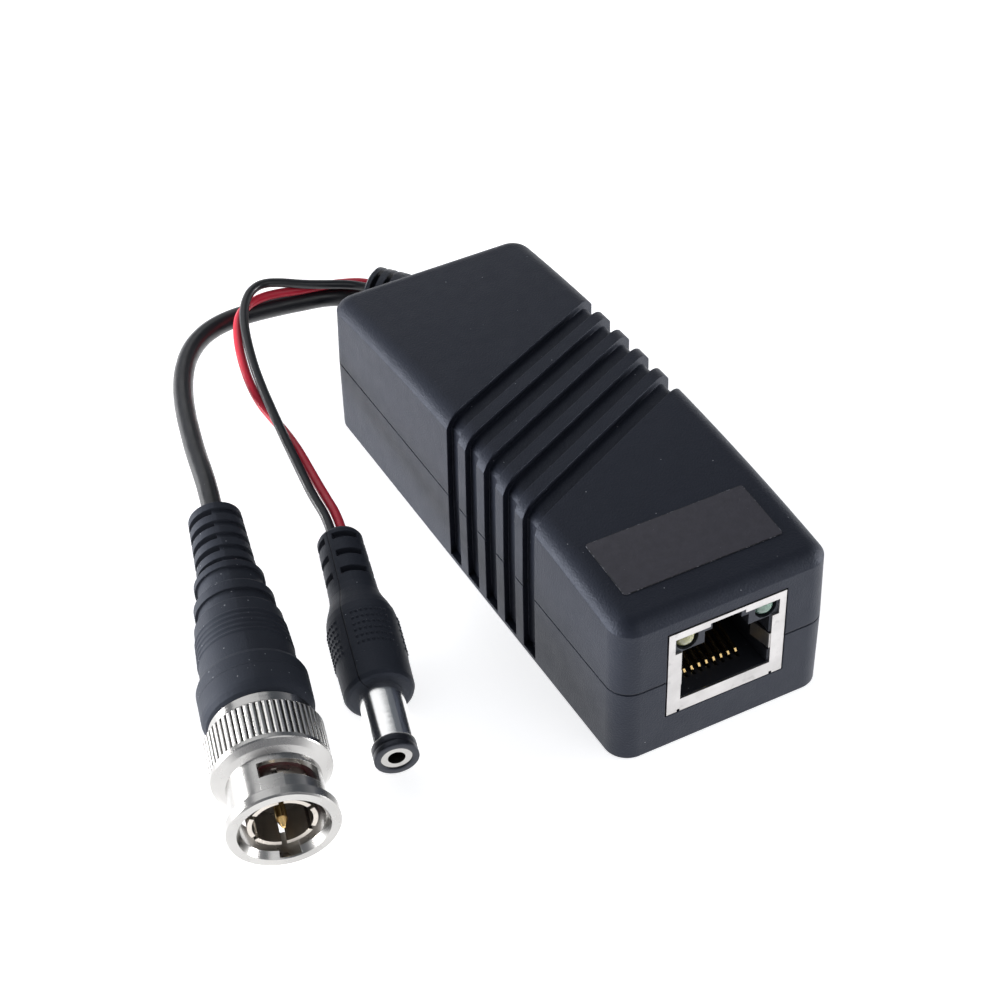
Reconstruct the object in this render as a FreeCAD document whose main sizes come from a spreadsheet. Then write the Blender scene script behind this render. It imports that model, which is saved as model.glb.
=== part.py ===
"""Video balun: a two-shell housing with a modular jack, a bayonet plug and a power plug.

Frame: the origin lies under the middle of the housing, on the surface it rests on.
-Y is the face with the jack, +Y the end where the cables leave, +Z is up.
All sizes are millimetres and degrees.
"""
import FreeCAD, Part
import math
import os
import Sketcher
from FreeCAD import Placement, Rotation, Vector

SIZES = [
    ("housing_length", 75.3, "plan length at the seam"),
    ("housing_width", 29.14, "plan width at the seam"),
    ("housing_height", 22.9, "floor to the top of the crown"),
    ("seam_height", 10.83, "height of the joint between the shells"),
    ("wall_draft", 0.55, "draft of both shells, away from the seam"),
    ("corner_radius", 3.0, "upright corners"),
    ("crown_radius", 317.0, "lengthwise arc of the top"),
    ("crown_centre_y", -3.8, "where the crown is highest"),
    ("edge_radius", 2.8, "round along the top edges"),
    ("edge_angle", 65.0, "how far the round turns before it meets the wall"),
    ("bottom_edge_radius", 0.25, "round along the bottom edges"),
    ("shell_wall", 2.2, "wall of both shells"),
    ("lip_thickness", 0.7, "inner lip of the lower shell"),
    ("lip_height", 1.4, "how far the lip stands above the seam"),
    ("lip_clearance", 0.1, "gap round the lip"),
    ("seam_reveal", 0.15, "shadow line under the seam, deep"),
    ("seam_reveal_height", 0.25, "shadow line under the seam, high"),
    ("groove_count", 5, "grip grooves"),
    ("groove_pitch", 4.79, "grip grooves, along the housing"),
    ("groove_width", 2.6, "grip grooves, across"),
    ("groove_depth", 1.0, "grip grooves, deep"),
    ("groove_angle", 26.2, "turn of the grooves from the X axis"),
    ("groove_centre_y", 0.33, "middle groove"),
    ("groove_foot", 0.7, "lower end of the grooves above the underside"),
    ("label_length", 21.6, "sticker, across the housing"),
    ("label_width", 9.0, "sticker, along the housing"),
    ("label_thickness", 0.12, "sticker"),
    ("label_centre_x", -0.2, "sticker"),
    ("label_centre_y", -28.0, "sticker"),
    ("label_corner", 0.4, "sticker corners"),
    ("jack_width", 16.0, "modular jack shield"),
    ("jack_height", 12.84, "modular jack shield"),
    ("jack_length", 18.0, "modular jack shield"),
    ("jack_gap", 0.2, "gap between the shield and the shells"),
    ("shield_sheet", 0.3, "shield metal"),
    ("socket_width", 11.9, "plug opening of the jack"),
    ("socket_bottom", 1.93, "plug opening above the shield's underside"),
    ("socket_top", 9.4, "plug opening above the shield's underside"),
    ("socket_depth", 13.5, "plug opening"),
    ("shield_opening_width", 12.4, "opening in the shield's face"),
    ("window_width", 14.2, "outer edges of the lamp windows"),
    ("window_bottom", 9.5, "lamp windows above the shield's underside"),
    ("shield_slot_width", 4.8, "gap in the shield over the latch slot"),
    ("window_top", 11.8, "lamp windows above the shield's underside"),
    ("latch_width", 6.0, "latch slot, lower step"),
    ("latch_step", 11.1, "top of the latch slot's lower step"),
    ("latch_narrow_width", 4.0, "latch slot, upper step"),
    ("latch_top", 12.3, "top of the latch slot"),
    ("latch_depth", 11.0, "latch slot"),
    ("lamp_radius", 1.45, "indicator lamps"),
    ("lamp_centre_x", 5.35, "indicator lamps"),
    ("lamp_centre_above", 11.0, "indicator lamps above the shield's underside"),
    ("lamp_length", 7.0, "indicator lamps"),
    ("lamp_front", 0.5, "indicator lamps behind the shield's face"),
    ("lamp_clearance", 0.05, "indicator lamps in the insert"),
    ("contact_count", 8, "jack contacts"),
    ("contact_pitch", 1.02, "jack contacts"),
    ("contact_wire", 0.32, "jack contacts"),
    ("contact_tip_depth", 3.3, "front bend of a contact behind the face"),
    ("contact_tip_above", 2.3, "front bend of a contact above the underside"),
    ("contact_end_depth", 10.4, "rear end of a contact's spring arm"),
    ("contact_end_above", 4.6, "rear end of a contact's spring arm"),
    ("contact_slot_gap", 0.06, "contacts in the insert's slots"),
    ("contact_floor", 1.5, "underside of the contacts above the shield's underside"),
    ("contact_tail_depth", 12.9, "rear end of a contact's lower run"),
    ("tab_length", 3.2, "spring tabs of the shield"),
    ("tab_bottom", 4.2, "spring tabs above the shield's underside"),
    ("tab_height", 2.3, "spring tabs of the shield"),
    ("tab_angle", 11.0, "spring tabs, bent inward"),
    ("tab_recess", 0.9, "room for the tabs in the insert"),
    ("notch_width", 0.4, "notches under the shield's opening"),
    ("notch_height", 0.35, "notches under the shield's opening"),
    ("board_side_gap", 0.67, "circuit board to the side walls"),
    ("board_end_gap", 2.45, "circuit board to the end walls"),
    ("board_width", "=housing_width - 2 * shell_wall - 2 * board_side_gap", "circuit board"),
    ("board_length", "=housing_length - 2 * shell_wall - 2 * board_end_gap", "circuit board"),
    ("board_thickness", 1.6, "circuit board"),
    ("rib_height", 1.39, "board ribs of the lower shell"),
    ("rib_thickness", 1.2, "board ribs of the lower shell"),
    ("rib_span", 50.0, "distance between the outer ribs"),
    ("core_outer_radius", 5.0, "transformer core"),
    ("core_inner_radius", 2.6, "transformer core"),
    ("core_height", 4.0, "transformer core"),
    ("core_y", -9.5, "transformer core"),
    ("winding_thickness", 0.6, "wire over the core"),
    ("winding_count", 8, "turn groups round the core"),
    ("capacitor_radius", 3.15, "electrolytic capacitor"),
    ("capacitor_height", 9.0, "electrolytic capacitor"),
    ("capacitor_x", "=-board_width / 2 + 5.2", "electrolytic capacitor"),
    ("capacitor_y", 4.5, "electrolytic capacitor"),
    ("inductor_radius", 3.0, "drum inductor"),
    ("inductor_height", 5.0, "drum inductor"),
    ("inductor_x", "=board_width / 2 - 6.2", "drum inductor"),
    ("inductor_y", 3.5, "drum inductor"),
    ("arrester_radius", 2.5, "surge arrester, lying across"),
    ("arrester_length", 6.0, "surge arrester, lying across"),
    ("arrester_y", 13.5, "surge arrester"),
    ("fuse_radius", 2.8, "resettable fuse disc"),
    ("fuse_thickness", 1.8, "resettable fuse disc"),
    ("fuse_x", "=board_width / 2 - 4.7", "resettable fuse"),
    ("fuse_y", 21.0, "resettable fuse"),
    ("grommet_neck_radius", 3.0, "moulded relief in the wall"),
    ("grommet_flange_radius", 4.6, "moulded relief on both sides of the wall"),
    ("grommet_flange_thickness", 1.0, "moulded relief on both sides of the wall"),
    ("grommet_radius", 4.1, "moulded relief, ribs"),
    ("grommet_bend_radius", 9.0, "moulded relief, where it turns aside"),
    ("grommet_angle", 38.0, "moulded relief, turn to the side"),
    ("grommet_length", 3.6, "moulded relief past its bend"),
    ("grommet_end_radius", 3.35, "moulded relief at its end"),
    ("grommet_rib_pitch", 1.65, "moulded relief, ribs"),
    ("grommet_slot_depth", 1.1, "moulded relief, slots"),
    ("grommet_slot_width", 0.75, "moulded relief, slots"),
    ("coax_diameter", 2.65, "video cable"),
    ("lead_diameter", 1.25, "each power lead"),
    ("coax_side", -0.3, "video cable beside the middle of the relief"),
    ("coax_rise", -0.9, "video cable above the middle of the relief"),
    ("black_side", -0.6, "black lead beside the middle of the relief"),
    ("black_rise", 1.6, "black lead above the middle of the relief"),
    ("red_side", 1.0, "red lead beside the middle of the relief"),
    ("red_rise", 1.1, "red lead above the middle of the relief"),
    ("lead_spread", 1.36, "distance between the leads at the power plug"),
    ("coax_exit_run", 2.5, "straight start of the video cable"),
    ("lead_exit_run", 1.6, "straight start of each power lead"),
    ("coax_plug_run", 5.0, "straight end of the video cable"),
    ("lead_plug_run", 3.6, "straight end of each power lead"),
    ("inner_coax_diameter", 1.6, "stripped video cable inside the housing"),
    ("inner_lead_diameter", 1.0, "power leads inside the housing"),
    ("inner_spacing", 2.4, "leads side by side inside the housing"),
    ("inner_reach", 5.5, "how far the leads run in from the relief"),
    ("plug_tilt", 6.0, "both plugs point down by this much"),
    ("plug_floor_gap", 0.03, "gap between the surface and each plug"),
    ("bayonet_x", -55.02, "front of the bayonet plug"),
    ("bayonet_y", -32.95, "front of the bayonet plug"),
    ("bayonet_heading", -15.24, "bayonet plug, turn from -Y"),
    ("flange_radius", 6.6, "coupling sleeve, front flange"),
    ("flange_thickness", 1.4, "coupling sleeve, front flange"),
    ("mouth_radius", 5.4, "coupling sleeve, mouth of the bore"),
    ("bore_radius", 4.9, "coupling sleeve, bore"),
    ("sleeve_radius", 5.56, "coupling sleeve, thin stretch"),
    ("sleeve_end", 6.7, "coupling sleeve, end of the thin stretch"),
    ("knurl_radius", 7.1, "coupling sleeve, knurl"),
    ("knurl_start", 8.4, "coupling sleeve, front of the knurl"),
    ("knurl_end", 13.1, "coupling sleeve, rear of the knurl"),
    ("knurl_count", 60, "coupling sleeve, teeth"),
    ("knurl_depth", 0.34, "coupling sleeve, teeth"),
    ("coupling_length", 13.7, "coupling sleeve"),
    ("chamber_radius", 5.9, "coupling sleeve, spring chamber"),
    ("chamber_start", 8.0, "coupling sleeve, spring chamber"),
    ("chamber_end", 10.7, "coupling sleeve, spring chamber"),
    ("bearing_radius", 4.58, "plug body where the coupling sleeve turns"),
    ("bearing_clearance", 0.06, "running fit of the coupling sleeve"),
    ("slot_rear", 5.85, "bayonet slot, rear edge"),
    ("slot_pocket", 2.2, "bayonet slot, length of the pocket"),
    ("slot_turn", 82.0, "bayonet slot, turn of the pocket"),
    ("slot_entry_turn", 28.0, "bayonet slot, turn of the entry"),
    ("slot_angle", -62.0, "bayonet slot, side of the pocket"),
    ("entry_radius", 5.3, "bayonet slot, groove of the entry inside the sleeve"),
    ("entry_boss_radius", 5.85, "bayonet slot, boss over the entry"),
    ("collar_front", 6.9, "plug body, seat of the gasket"),
    ("collar_radius", 4.75, "plug body, seat of the gasket"),
    ("ring_groove_radius", 4.2, "plug body, groove of the snap ring"),
    ("snap_ring_front", 9.0, "snap ring"),
    ("snap_ring_thickness", 0.8, "snap ring"),
    ("snap_ring_radius", 5.7, "snap ring"),
    ("washer_sheet", 0.3, "spring washer"),
    ("washer_gap", 0.06, "spring washer to the coupling sleeve"),
    ("rear_ring_radius", 6.2, "plug body behind the coupling sleeve"),
    ("rear_ring_end", 15.1, "plug body behind the coupling sleeve"),
    ("crimp_radius", 3.2, "plug body inside the boot"),
    ("crimp_end", 26.0, "plug body inside the boot"),
    ("coupling_float", 0.2, "gap between the coupling sleeve and the rear ring"),
    ("gasket_front", 6.1, "gasket"),
    ("contact_radius", 4.05, "outer contact, outside"),
    ("contact_bore", 3.5, "outer contact, inside"),
    ("contact_front", 1.1, "outer contact"),
    ("contact_rear", 8.6, "outer contact"),
    ("contact_slots", 6, "outer contact"),
    ("contact_slot_width", 0.6, "outer contact"),
    ("contact_slot_length", 4.6, "outer contact"),
    ("dielectric_front", 5.2, "insulator round the pin"),
    ("pin_radius", 0.68, "centre pin"),
    ("pin_tip", 0.45, "centre pin"),
    ("pin_cone", 1.15, "centre pin, point"),
    ("pin_tip_radius", 0.2, "centre pin, point"),
    ("boot_front", 15.3, "boot"),
    ("boot_band_radius", 6.7, "boot, band"),
    ("boot_band_end", 20.9, "boot, band"),
    ("boot_cone_radius", 6.0, "boot, front of the cone"),
    ("boot_cone_end_radius", 5.4, "boot, rear of the cone"),
    ("boot_cone_end", 30.4, "boot, rear of the cone"),
    ("boot_rib_first", 25.2, "boot, first fine rib"),
    ("boot_rib_pitch", 0.8, "boot, fine ribs"),
    ("boot_rib_count", 5, "boot, fine ribs"),
    ("boot_rib_height", 0.13, "boot, fine ribs"),
    ("boot_step_radius", 4.95, "boot, first step"),
    ("boot_step_start", 32.5, "boot, first step"),
    ("boot_step_end", 34.1, "boot, first step"),
    ("boot_small_step_radius", 4.35, "boot, second step"),
    ("boot_small_step_start", 36.6, "boot, second step"),
    ("boot_small_step_end", 37.75, "boot, second step"),
    ("boot_neck_relief", 0.35, "boot, necks before the steps"),
    ("boot_slot_pitch", 2.11, "boot, slots of the relief"),
    ("boot_slot_width", 0.95, "boot, slots of the relief"),
    ("boot_slot_count", 5, "boot, slots of the relief"),
    ("boot_slot_turn", 112.0, "boot, deep stretch of each slot"),
    ("boot_slot_angle", 8.0, "boot, side where the deep stretch starts"),
    ("boot_seat_radius", 5.2, "plug body in the front of the boot"),
    ("boot_seat_end", 17.0, "plug body in the front of the boot"),
    ("boot_relief_radius", 3.75, "boot, front of the slotted relief"),
    ("boot_end_radius", 3.35, "boot, rear of the slotted relief"),
    ("boot_shallow_depth", 0.35, "boot, slots all round"),
    ("boot_deep_radius", 2.1, "boot, bottom of the deep slots"),
    ("boot_length", 48.5, "boot, rear end from the plug's front"),
    ("power_x", -37.9, "front of the power plug"),
    ("power_y", -26.7, "front of the power plug"),
    ("power_heading", -15.33, "power plug, turn from -Y"),
    ("barrel_radius", 2.75, "power plug, barrel"),
    ("barrel_length", 9.5, "power plug, barrel"),
    ("tip_length", 1.75, "power plug, black tip ring"),
    ("tip_ring_inset", 0.05, "power plug, tip ring inside the barrel's line"),
    ("barrel_collar_radius", 3.2, "power plug, collar of the barrel inside the grip"),
    ("barrel_collar_inset", 0.1, "power plug, collar behind the grip's face"),
    ("tip_inner_radius", 1.9, "power plug, tip ring"),
    ("socket_radius", 1.05, "power plug, bore for the pin"),
    ("socket_bore_depth", 9.0, "power plug, bore for the pin"),
    ("grip_radius", 4.42, "power plug, grip"),
    ("grip_end", 20.3, "power plug, grip"),
    ("relief_radius", 3.1, "power plug, front of the relief"),
    ("relief_start", 25.8, "power plug, front of the relief"),
    ("relief_end_radius", 2.9, "power plug, rear of the relief"),
    ("power_length", 35.3, "power plug, rear end from the front"),
    ("relief_slot_first", 27.2, "power plug, first slot"),
    ("relief_slot_pitch", 2.95, "power plug, slots"),
    ("relief_slot_width", 1.0, "power plug, slots"),
    ("relief_slot_count", 3, "power plug, slots"),
    ("relief_slot_depth", 0.85, "power plug, slots"),
    ("relief_slot_turn", 68.0, "power plug, slots"),
    ("relief_slot_angle", -45.0, "power plug, side where the first slot starts"),
]

# Free stretch of each cord, from the relief in the wall to its plug
COAX_ROUTE = [
    (-8.9, 50.0, 10.2), (-13.1, 50.6, 10.4), (-17.8, 50.9, 10.8), (-22.5, 50.8, 11.2),
    (-26.2, 49.9, 11.5), (-29.2, 48.2, 11.7), (-31.7, 45.8, 11.8), (-33.8, 42.7, 11.9),
    (-35.5, 39.2, 11.9), (-37.0, 35.1, 11.9), (-38.2, 30.8, 12.0), (-39.3, 26.5, 12.0),
    (-40.2, 22.3, 12.3),
]
BLACK_ROUTE = [
    (-7.6, 48.2, 12.9), (-10.2, 49.0, 13.3), (-12.8, 49.9, 13.7), (-15.3, 51.2, 14.1),
    (-17.7, 52.0, 14.4), (-19.8, 51.3, 14.5), (-21.5, 49.5, 14.5), (-22.9, 47.2, 14.3),
    (-24.0, 44.5, 13.9), (-24.9, 41.4, 13.3), (-25.7, 38.0, 12.5), (-26.3, 34.2, 11.6),
    (-26.8, 29.8, 10.6), (-27.3, 25.0, 9.6), (-27.8, 20.1, 8.8), (-28.3, 15.4, 8.1),
]
RED_ROUTE = [
    (-6.8, 49.4, 12.1), (-10.0, 50.2, 12.25), (-13.2, 50.4, 12.5), (-16.2, 50.8, 12.9),
    (-19.0, 50.8, 13.1), (-21.5, 49.9, 13.1), (-23.3, 48.2, 13.1), (-24.6, 45.7, 13.1),
    (-25.8, 42.6, 12.7), (-26.6, 39.5, 12.0), (-27.1, 36.5, 11.1), (-27.1, 33.5, 10.0),
    (-26.6, 30.5, 9.2), (-26.2, 27.2, 8.8), (-26.2, 23.5, 8.5), (-26.5, 19.4, 8.1),
    (-26.8, 15.0, 7.8),
]

ALIASES = {alias for alias, value, meaning in SIZES}
# How far the round of the top edge reaches past the wall before the wall trims it.
EDGE_OVERHANG = "edge_radius * (1 - sin(edge_angle * 1 deg))"

doc = FreeCAD.newDocument("video_balun")
sheet = doc.addObject("Spreadsheet::Sheet", "Sizes")
for row, (alias, value, meaning) in enumerate(SIZES, start=1):
    sheet.set("A%d" % row, alias.replace("_", " ") + ": " + meaning)
    sheet.set("B%d" % row, str(value))
    sheet.setAlias("B%d" % row, alias)
doc.recompute()

pieces = {}


def formula(text):
    """Give every size in the text its place in the sheet."""
    words = []
    word = ""
    for letter in text + " ":
        if letter.isalnum() or letter == "_":
            word += letter
            continue
        words.append("Sizes." + word if word in ALIASES else word)
        words.append(letter)
        word = ""
    return "".join(words).strip()


def size(text):
    """Value of a formula of sizes."""
    return float(sheet.evalExpression(formula(text)))


def bind(item, **settings):
    """Bind properties of an object to formulas of sizes."""
    for name, text in settings.items():
        item.setExpression(name, formula(text))
    return item


def piece(node, item):
    """Name the object that is exported as a node."""
    item.Label = node
    pieces[node] = item
    return item


def new_body(name):
    return doc.addObject("PartDesign::Body", name)


def plane(body, role):
    return next(item for item in body.Origin.OriginFeatures if item.Role == role)


def new_sketch(body, role, offset):
    sketch = body.newObject("Sketcher::SketchObject", body.Name + "_outline")
    sketch.AttachmentSupport = [(plane(body, role), "")]
    sketch.MapMode = "FlatFace"
    sketch.setExpression(".AttachmentOffset.Base.z", formula(offset))
    return sketch


def pin_point(sketch, index, end, corner):
    """Hold one end of a sketch line at a place given by two formulas."""
    for kind, text in (("DistanceX", corner[0]), ("DistanceY", corner[1])):
        place = sketch.addConstraint(Sketcher.Constraint(kind, -1, 1, index, end, size(text)))
        sketch.setExpression("Constraints[%d]" % place, formula(text))


def outline(body, role, corners, offset="0"):
    """Closed sketch of straight sides through corners, each a pair of formulas."""
    sketch = new_sketch(body, role, offset)
    points = [Vector(size(across), size(up), 0) for across, up in corners]
    for index, start in enumerate(points):
        sketch.addGeometry(Part.LineSegment(start, points[(index + 1) % len(points)]), False)
    for index, corner in enumerate(corners):
        following = (index + 1) % len(corners)
        sketch.addConstraint(Sketcher.Constraint("Coincident", index, 2, following, 1))
        pin_point(sketch, index, 1, corner)
    return sketch


def rectangle(body, role, left, right, bottom, top, offset="0"):
    return outline(body, role, [(left, bottom), (right, bottom), (right, top), (left, top)], offset)


def pad(body, sketch, length, side="One side", taper="0", reversed_side=False):
    feature = body.newObject("PartDesign::Pad", body.Name + "_pad")
    feature.Profile = sketch
    feature.SideType = side
    feature.Reversed = reversed_side
    bind(feature, Length=length, TaperAngle=taper)
    doc.recompute()
    return feature


def pocket(body, sketch, length, side="Symmetric"):
    feature = body.newObject("PartDesign::Pocket", body.Name + "_pocket")
    feature.Profile = sketch
    feature.SideType = side
    bind(feature, Length=length)
    doc.recompute()
    return feature


def fillet(body, base, edges, radius):
    feature = body.newObject("PartDesign::Fillet", body.Name + "_round")
    feature.Base = (base, edges)
    bind(feature, Radius=radius)
    doc.recompute()
    return feature


def turned(body, corners):
    """Solid of revolution about the body's X axis; corners are pairs of station and radius."""
    sketch = outline(body, "XZ_Plane", corners)
    feature = body.newObject("PartDesign::Revolution", body.Name + "_turned")
    feature.Profile = sketch
    feature.ReferenceAxis = (sketch, ["H_Axis"])
    feature.Angle = 360
    doc.recompute()
    return feature


def upright_edges(shape):
    names = []
    for index, edge in enumerate(shape.Edges, start=1):
        run = edge.Vertexes[-1].Point - edge.Vertexes[0].Point
        if abs(run.z) > 0.9 * run.Length and run.Length > 1e-6:
            names.append("Edge%d" % index)
    return names


def edges_where(shape, test):
    return ["Edge%d" % index for index, edge in enumerate(shape.Edges, start=1) if test(edge)]


def join(kind, name, shapes):
    """Fuse, or intersect, several objects."""
    item = doc.addObject(kind, name)
    item.Shapes = shapes
    return item


def cut(name, base, tools):
    item = doc.addObject("Part::Cut", name)
    item.Base = base
    item.Tool = tools[0] if len(tools) == 1 else join("Part::MultiFuse", name + "_tools", tools)
    return item


def box(name, left, right, front, back, bottom, top):
    """Block between six formulas."""
    item = doc.addObject("Part::Box", name)
    bind(item, Length="(%s) - (%s)" % (right, left), Width="(%s) - (%s)" % (back, front),
         Height="(%s) - (%s)" % (top, bottom))
    for axis, text in zip("xyz", (left, front, bottom)):
        item.setExpression("Placement.Base." + axis, formula(text))
    return item


def rod(name, radius, start, end, across="0", up="0", direction="Y"):
    """Round bar along X, Y or Z from one formula to another."""
    item = doc.addObject("Part::Cylinder", name)
    bind(item, Radius=radius, Height="(%s) - (%s)" % (end, start))
    turn = {"X": Rotation(Vector(0, 1, 0), 90), "Y": Rotation(Vector(1, 0, 0), -90), "Z": Rotation()}
    item.Placement = Placement(Vector(), turn[direction])
    order = {"X": (start, across, up), "Y": (across, start, up), "Z": (across, up, start)}
    for axis, text in zip("xyz", order[direction]):
        item.setExpression("Placement.Base." + axis, formula(text))
    return item


# Outer form of the housing


def block(body, half_size, corner, start, length, downward=False):
    """Drafted block with round upright edges, from a height up or down."""
    half_width, half_length = half_size
    sketch = rectangle(body, "XY_Plane", "-(%s)" % half_width, half_width,
                       "-(%s)" % half_length, half_length, start)
    solid = pad(body, sketch, length, taper="-wall_draft", reversed_side=downward)
    return fillet(body, solid, upright_edges(solid.Shape), corner)


def prism(name, inset, start, length, downward=False):
    """Drafted block of the housing's plan, drawn in by the inset."""
    body = new_body(name + "_prism")
    half_size = ("housing_width / 2 - (%s)" % inset, "housing_length / 2 - (%s)" % inset)
    block(body, half_size, "corner_radius - (%s)" % inset, start, length, downward)
    return body


def dome(name, inset):
    """Upper half of the housing's form, grown past the walls that trim its round edge."""
    grow = "(%s) - (%s)" % (EDGE_OVERHANG, inset)
    body = new_body(name + "_dome")
    half_size = ("housing_width / 2 + " + grow, "housing_length / 2 + " + grow)
    corner = "max(corner_radius + %s; 1.03 * edge_radius) - (%s)" % (EDGE_OVERHANG, inset)
    block(body, half_size, corner, "seam_height", "housing_height - seam_height + edge_radius")
    solid = pocket(body, crown_outline(body, inset), "housing_width + 4 * edge_radius")
    crown_edges = edges_where(solid.Shape, lambda edge: on_crown(edge, inset))
    fillet(body, solid, crown_edges, "edge_radius - (%s)" % inset)
    return body


def crowned(name, inset):
    """Upper half of the housing's form: the dome trimmed by the drafted walls."""
    walls = prism(name, inset, "seam_height", "housing_height")
    return join("Part::MultiCommon", name, [dome(name, inset), walls])


def crown_outline(body, inset):
    """Everything above the crown, seen from the side."""
    sketch = new_sketch(body, "YZ_Plane", "0")
    centre = Vector(size("crown_centre_y"), size("housing_height - crown_radius"), 0)
    radius = size("crown_radius - (%s)" % inset)
    reach = size("housing_length")
    rise = math.sqrt(radius ** 2 - reach ** 2)
    start = math.atan2(rise, reach)
    roof = size("housing_height + 2 * edge_radius")
    ends = [centre + Vector(-reach, rise, 0), Vector(centre.x - reach, roof, 0),
            Vector(centre.x + reach, roof, 0), centre + Vector(reach, rise, 0)]
    arc = Part.ArcOfCircle(Part.Circle(centre, Vector(0, 0, 1), radius), start, math.pi - start)
    sketch.addGeometry(arc, False)
    for index in range(3):
        sketch.addGeometry(Part.LineSegment(ends[index], ends[index + 1]), False)
    for index in range(4):
        following = (index + 1) % 4
        sketch.addConstraint(Sketcher.Constraint("Coincident", index, 2, following, 1))
    sketch.addConstraint([Sketcher.Constraint("Vertical", 1), Sketcher.Constraint("Vertical", 3)])
    place = sketch.addConstraint(Sketcher.Constraint("Radius", 0, radius))
    sketch.setExpression("Constraints[%d]" % place, formula("crown_radius - (%s)" % inset))
    pin_point(sketch, 0, 3, ("crown_centre_y", "housing_height - crown_radius"))
    pin_point(sketch, 2, 1, ("crown_centre_y - housing_length", "housing_height + 2 * edge_radius"))
    pin_point(sketch, 2, 2, ("crown_centre_y + housing_length", "housing_height + 2 * edge_radius"))
    return sketch


def on_crown(edge, inset):
    """Whether an edge lies in the crowned face."""
    radius = size("crown_radius - (%s)" % inset)
    centre_y = size("crown_centre_y")
    centre_z = size("housing_height - crown_radius")
    return all(
        abs(math.hypot(vertex.Point.y - centre_y, vertex.Point.z - centre_z) - radius) < 1e-3
        for vertex in edge.Vertexes
    )


# Cutters that both shells share


def groove_cutter():
    """Slanted slabs without the core that they leave standing."""
    slabs = []
    for index in range(int(size("groove_count"))):
        slab = doc.addObject("Part::Box", "groove_slab_%d" % index)
        bind(slab, Length="3 * housing_width", Width="groove_width", Height="3 * housing_height")
        step = size("groove_centre_y") + (index - (size("groove_count") - 1) / 2) * size("groove_pitch")
        turn = Rotation(Vector(0, 0, 1), size("groove_angle"))
        middle = Vector(size("3 * housing_width") / 2, size("groove_width") / 2, 0)
        slab.Placement = Placement(Vector(0, step, size("groove_foot")) - turn.multVec(middle), turn)
        slabs.append(slab)
    upper_core = crowned("groove_core_above", "groove_depth")
    lower_core = prism("groove_core_below", "groove_depth", "seam_height",
                       "seam_height + housing_height", downward=True)
    return cut("grooves", join("Part::MultiFuse", "groove_slabs", slabs), [upper_core, lower_core])


JACK_Z = "shell_wall + rib_height + board_thickness"
FRONT = "-housing_length / 2"
REAR = "housing_length / 2"


def jack_hole():
    """Cut-out of the front wall round the jack."""
    return box("jack_hole", "-jack_width / 2 - jack_gap", "jack_width / 2 + jack_gap",
               FRONT + " - corner_radius", FRONT + " + shell_wall + corner_radius",
               JACK_Z + " - jack_gap", JACK_Z + " + jack_height + jack_gap")


def relief_hole():
    """Round hole of the rear wall, centred on the seam."""
    return rod("relief_hole", "grommet_neck_radius", REAR + " - shell_wall - corner_radius",
               REAR + " + corner_radius", up="seam_height")


grooves = groove_cutter()
front_hole = jack_hole()
rear_hole = relief_hole()


def upper_shell():
    """Crowned cover with the grip grooves and a recess for the lip of the base."""
    outer = crowned("cover_outer", "0")
    hollow = crowned("cover_hollow", "shell_wall")
    recess = prism("lip_recess", "shell_wall - lip_thickness - lip_clearance",
                   "seam_height", "lip_height + lip_clearance")
    return piece("upper_shell", cut("cover", outer, [grooves, hollow, recess, front_hole, rear_hole]))


def lower_shell():
    """Tray with the grip grooves on its sides, an inner lip and the ribs under the board."""
    body = prism("tray_outer", "0", "seam_height", "seam_height", downward=True)
    bottom = edges_where(body.Shape, lambda edge: edge.BoundBox.ZMax < size("bottom_edge_radius"))
    fillet(body, body.Tip, bottom, "bottom_edge_radius")
    hollow = prism("tray_hollow", "shell_wall", "seam_height", "seam_height - shell_wall",
                   downward=True)
    reveal_outer = prism("reveal_outer", "-edge_radius", "seam_height", "seam_reveal_height",
                         downward=True)
    reveal_inner = prism("reveal_inner", "seam_reveal", "seam_height", "seam_reveal_height",
                         downward=True)
    reveal = cut("reveal", reveal_outer, [reveal_inner])
    tray = cut("tray", body, [grooves, hollow, reveal])
    lip_outer = prism("lip_outer", "shell_wall - lip_thickness", "seam_height", "lip_height")
    lip_inner = prism("lip_inner", "shell_wall", "seam_height", "lip_height")
    lip = cut("lip", lip_outer, [lip_inner])
    ribs = []
    for name, place in (("front", "-rib_span / 2"), ("middle", "0"), ("rear", "rib_span / 2")):
        ribs.append(box("rib_" + name, "-housing_width / 2 + shell_wall / 2",
                        "housing_width / 2 - shell_wall / 2",
                        place + " - rib_thickness / 2", place + " + rib_thickness / 2",
                        "shell_wall / 2", "shell_wall + rib_height"))
    filled = join("Part::MultiFuse", "tray_filled", [tray, lip] + ribs)
    return piece("lower_shell", cut("base", filled, [front_hole, rear_hole]))


def label_sticker():
    """Bare sticker that follows the crown."""
    layer = cut("label_layer", dome("label_top", "-label_thickness"), [dome("label_under", "0")])
    body = new_body("label_outline_block")
    half_length = "label_length / 2"
    half_width = "label_width / 2"
    sketch = rectangle(
        body, "XY_Plane", "label_centre_x - " + half_length, "label_centre_x + " + half_length,
        "label_centre_y - " + half_width, "label_centre_y + " + half_width, "seam_height")
    solid = pad(body, sketch, "housing_height")
    fillet(body, solid, upright_edges(solid.Shape), "label_corner")
    return piece("label_sticker", join("Part::MultiCommon", "label", [layer, body]))


upper_shell()
lower_shell()
label_sticker()


# Modular jack and its lamps


def jack_box(name, half_width, front, depth, bottom, top):
    """Block inside the jack: half width, depth behind its face, heights above its underside."""
    return box(name, "-(%s)" % half_width, half_width, FRONT + " + " + front, FRONT + " + " + depth,
               JACK_Z + " + " + bottom, JACK_Z + " + " + top)


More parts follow.
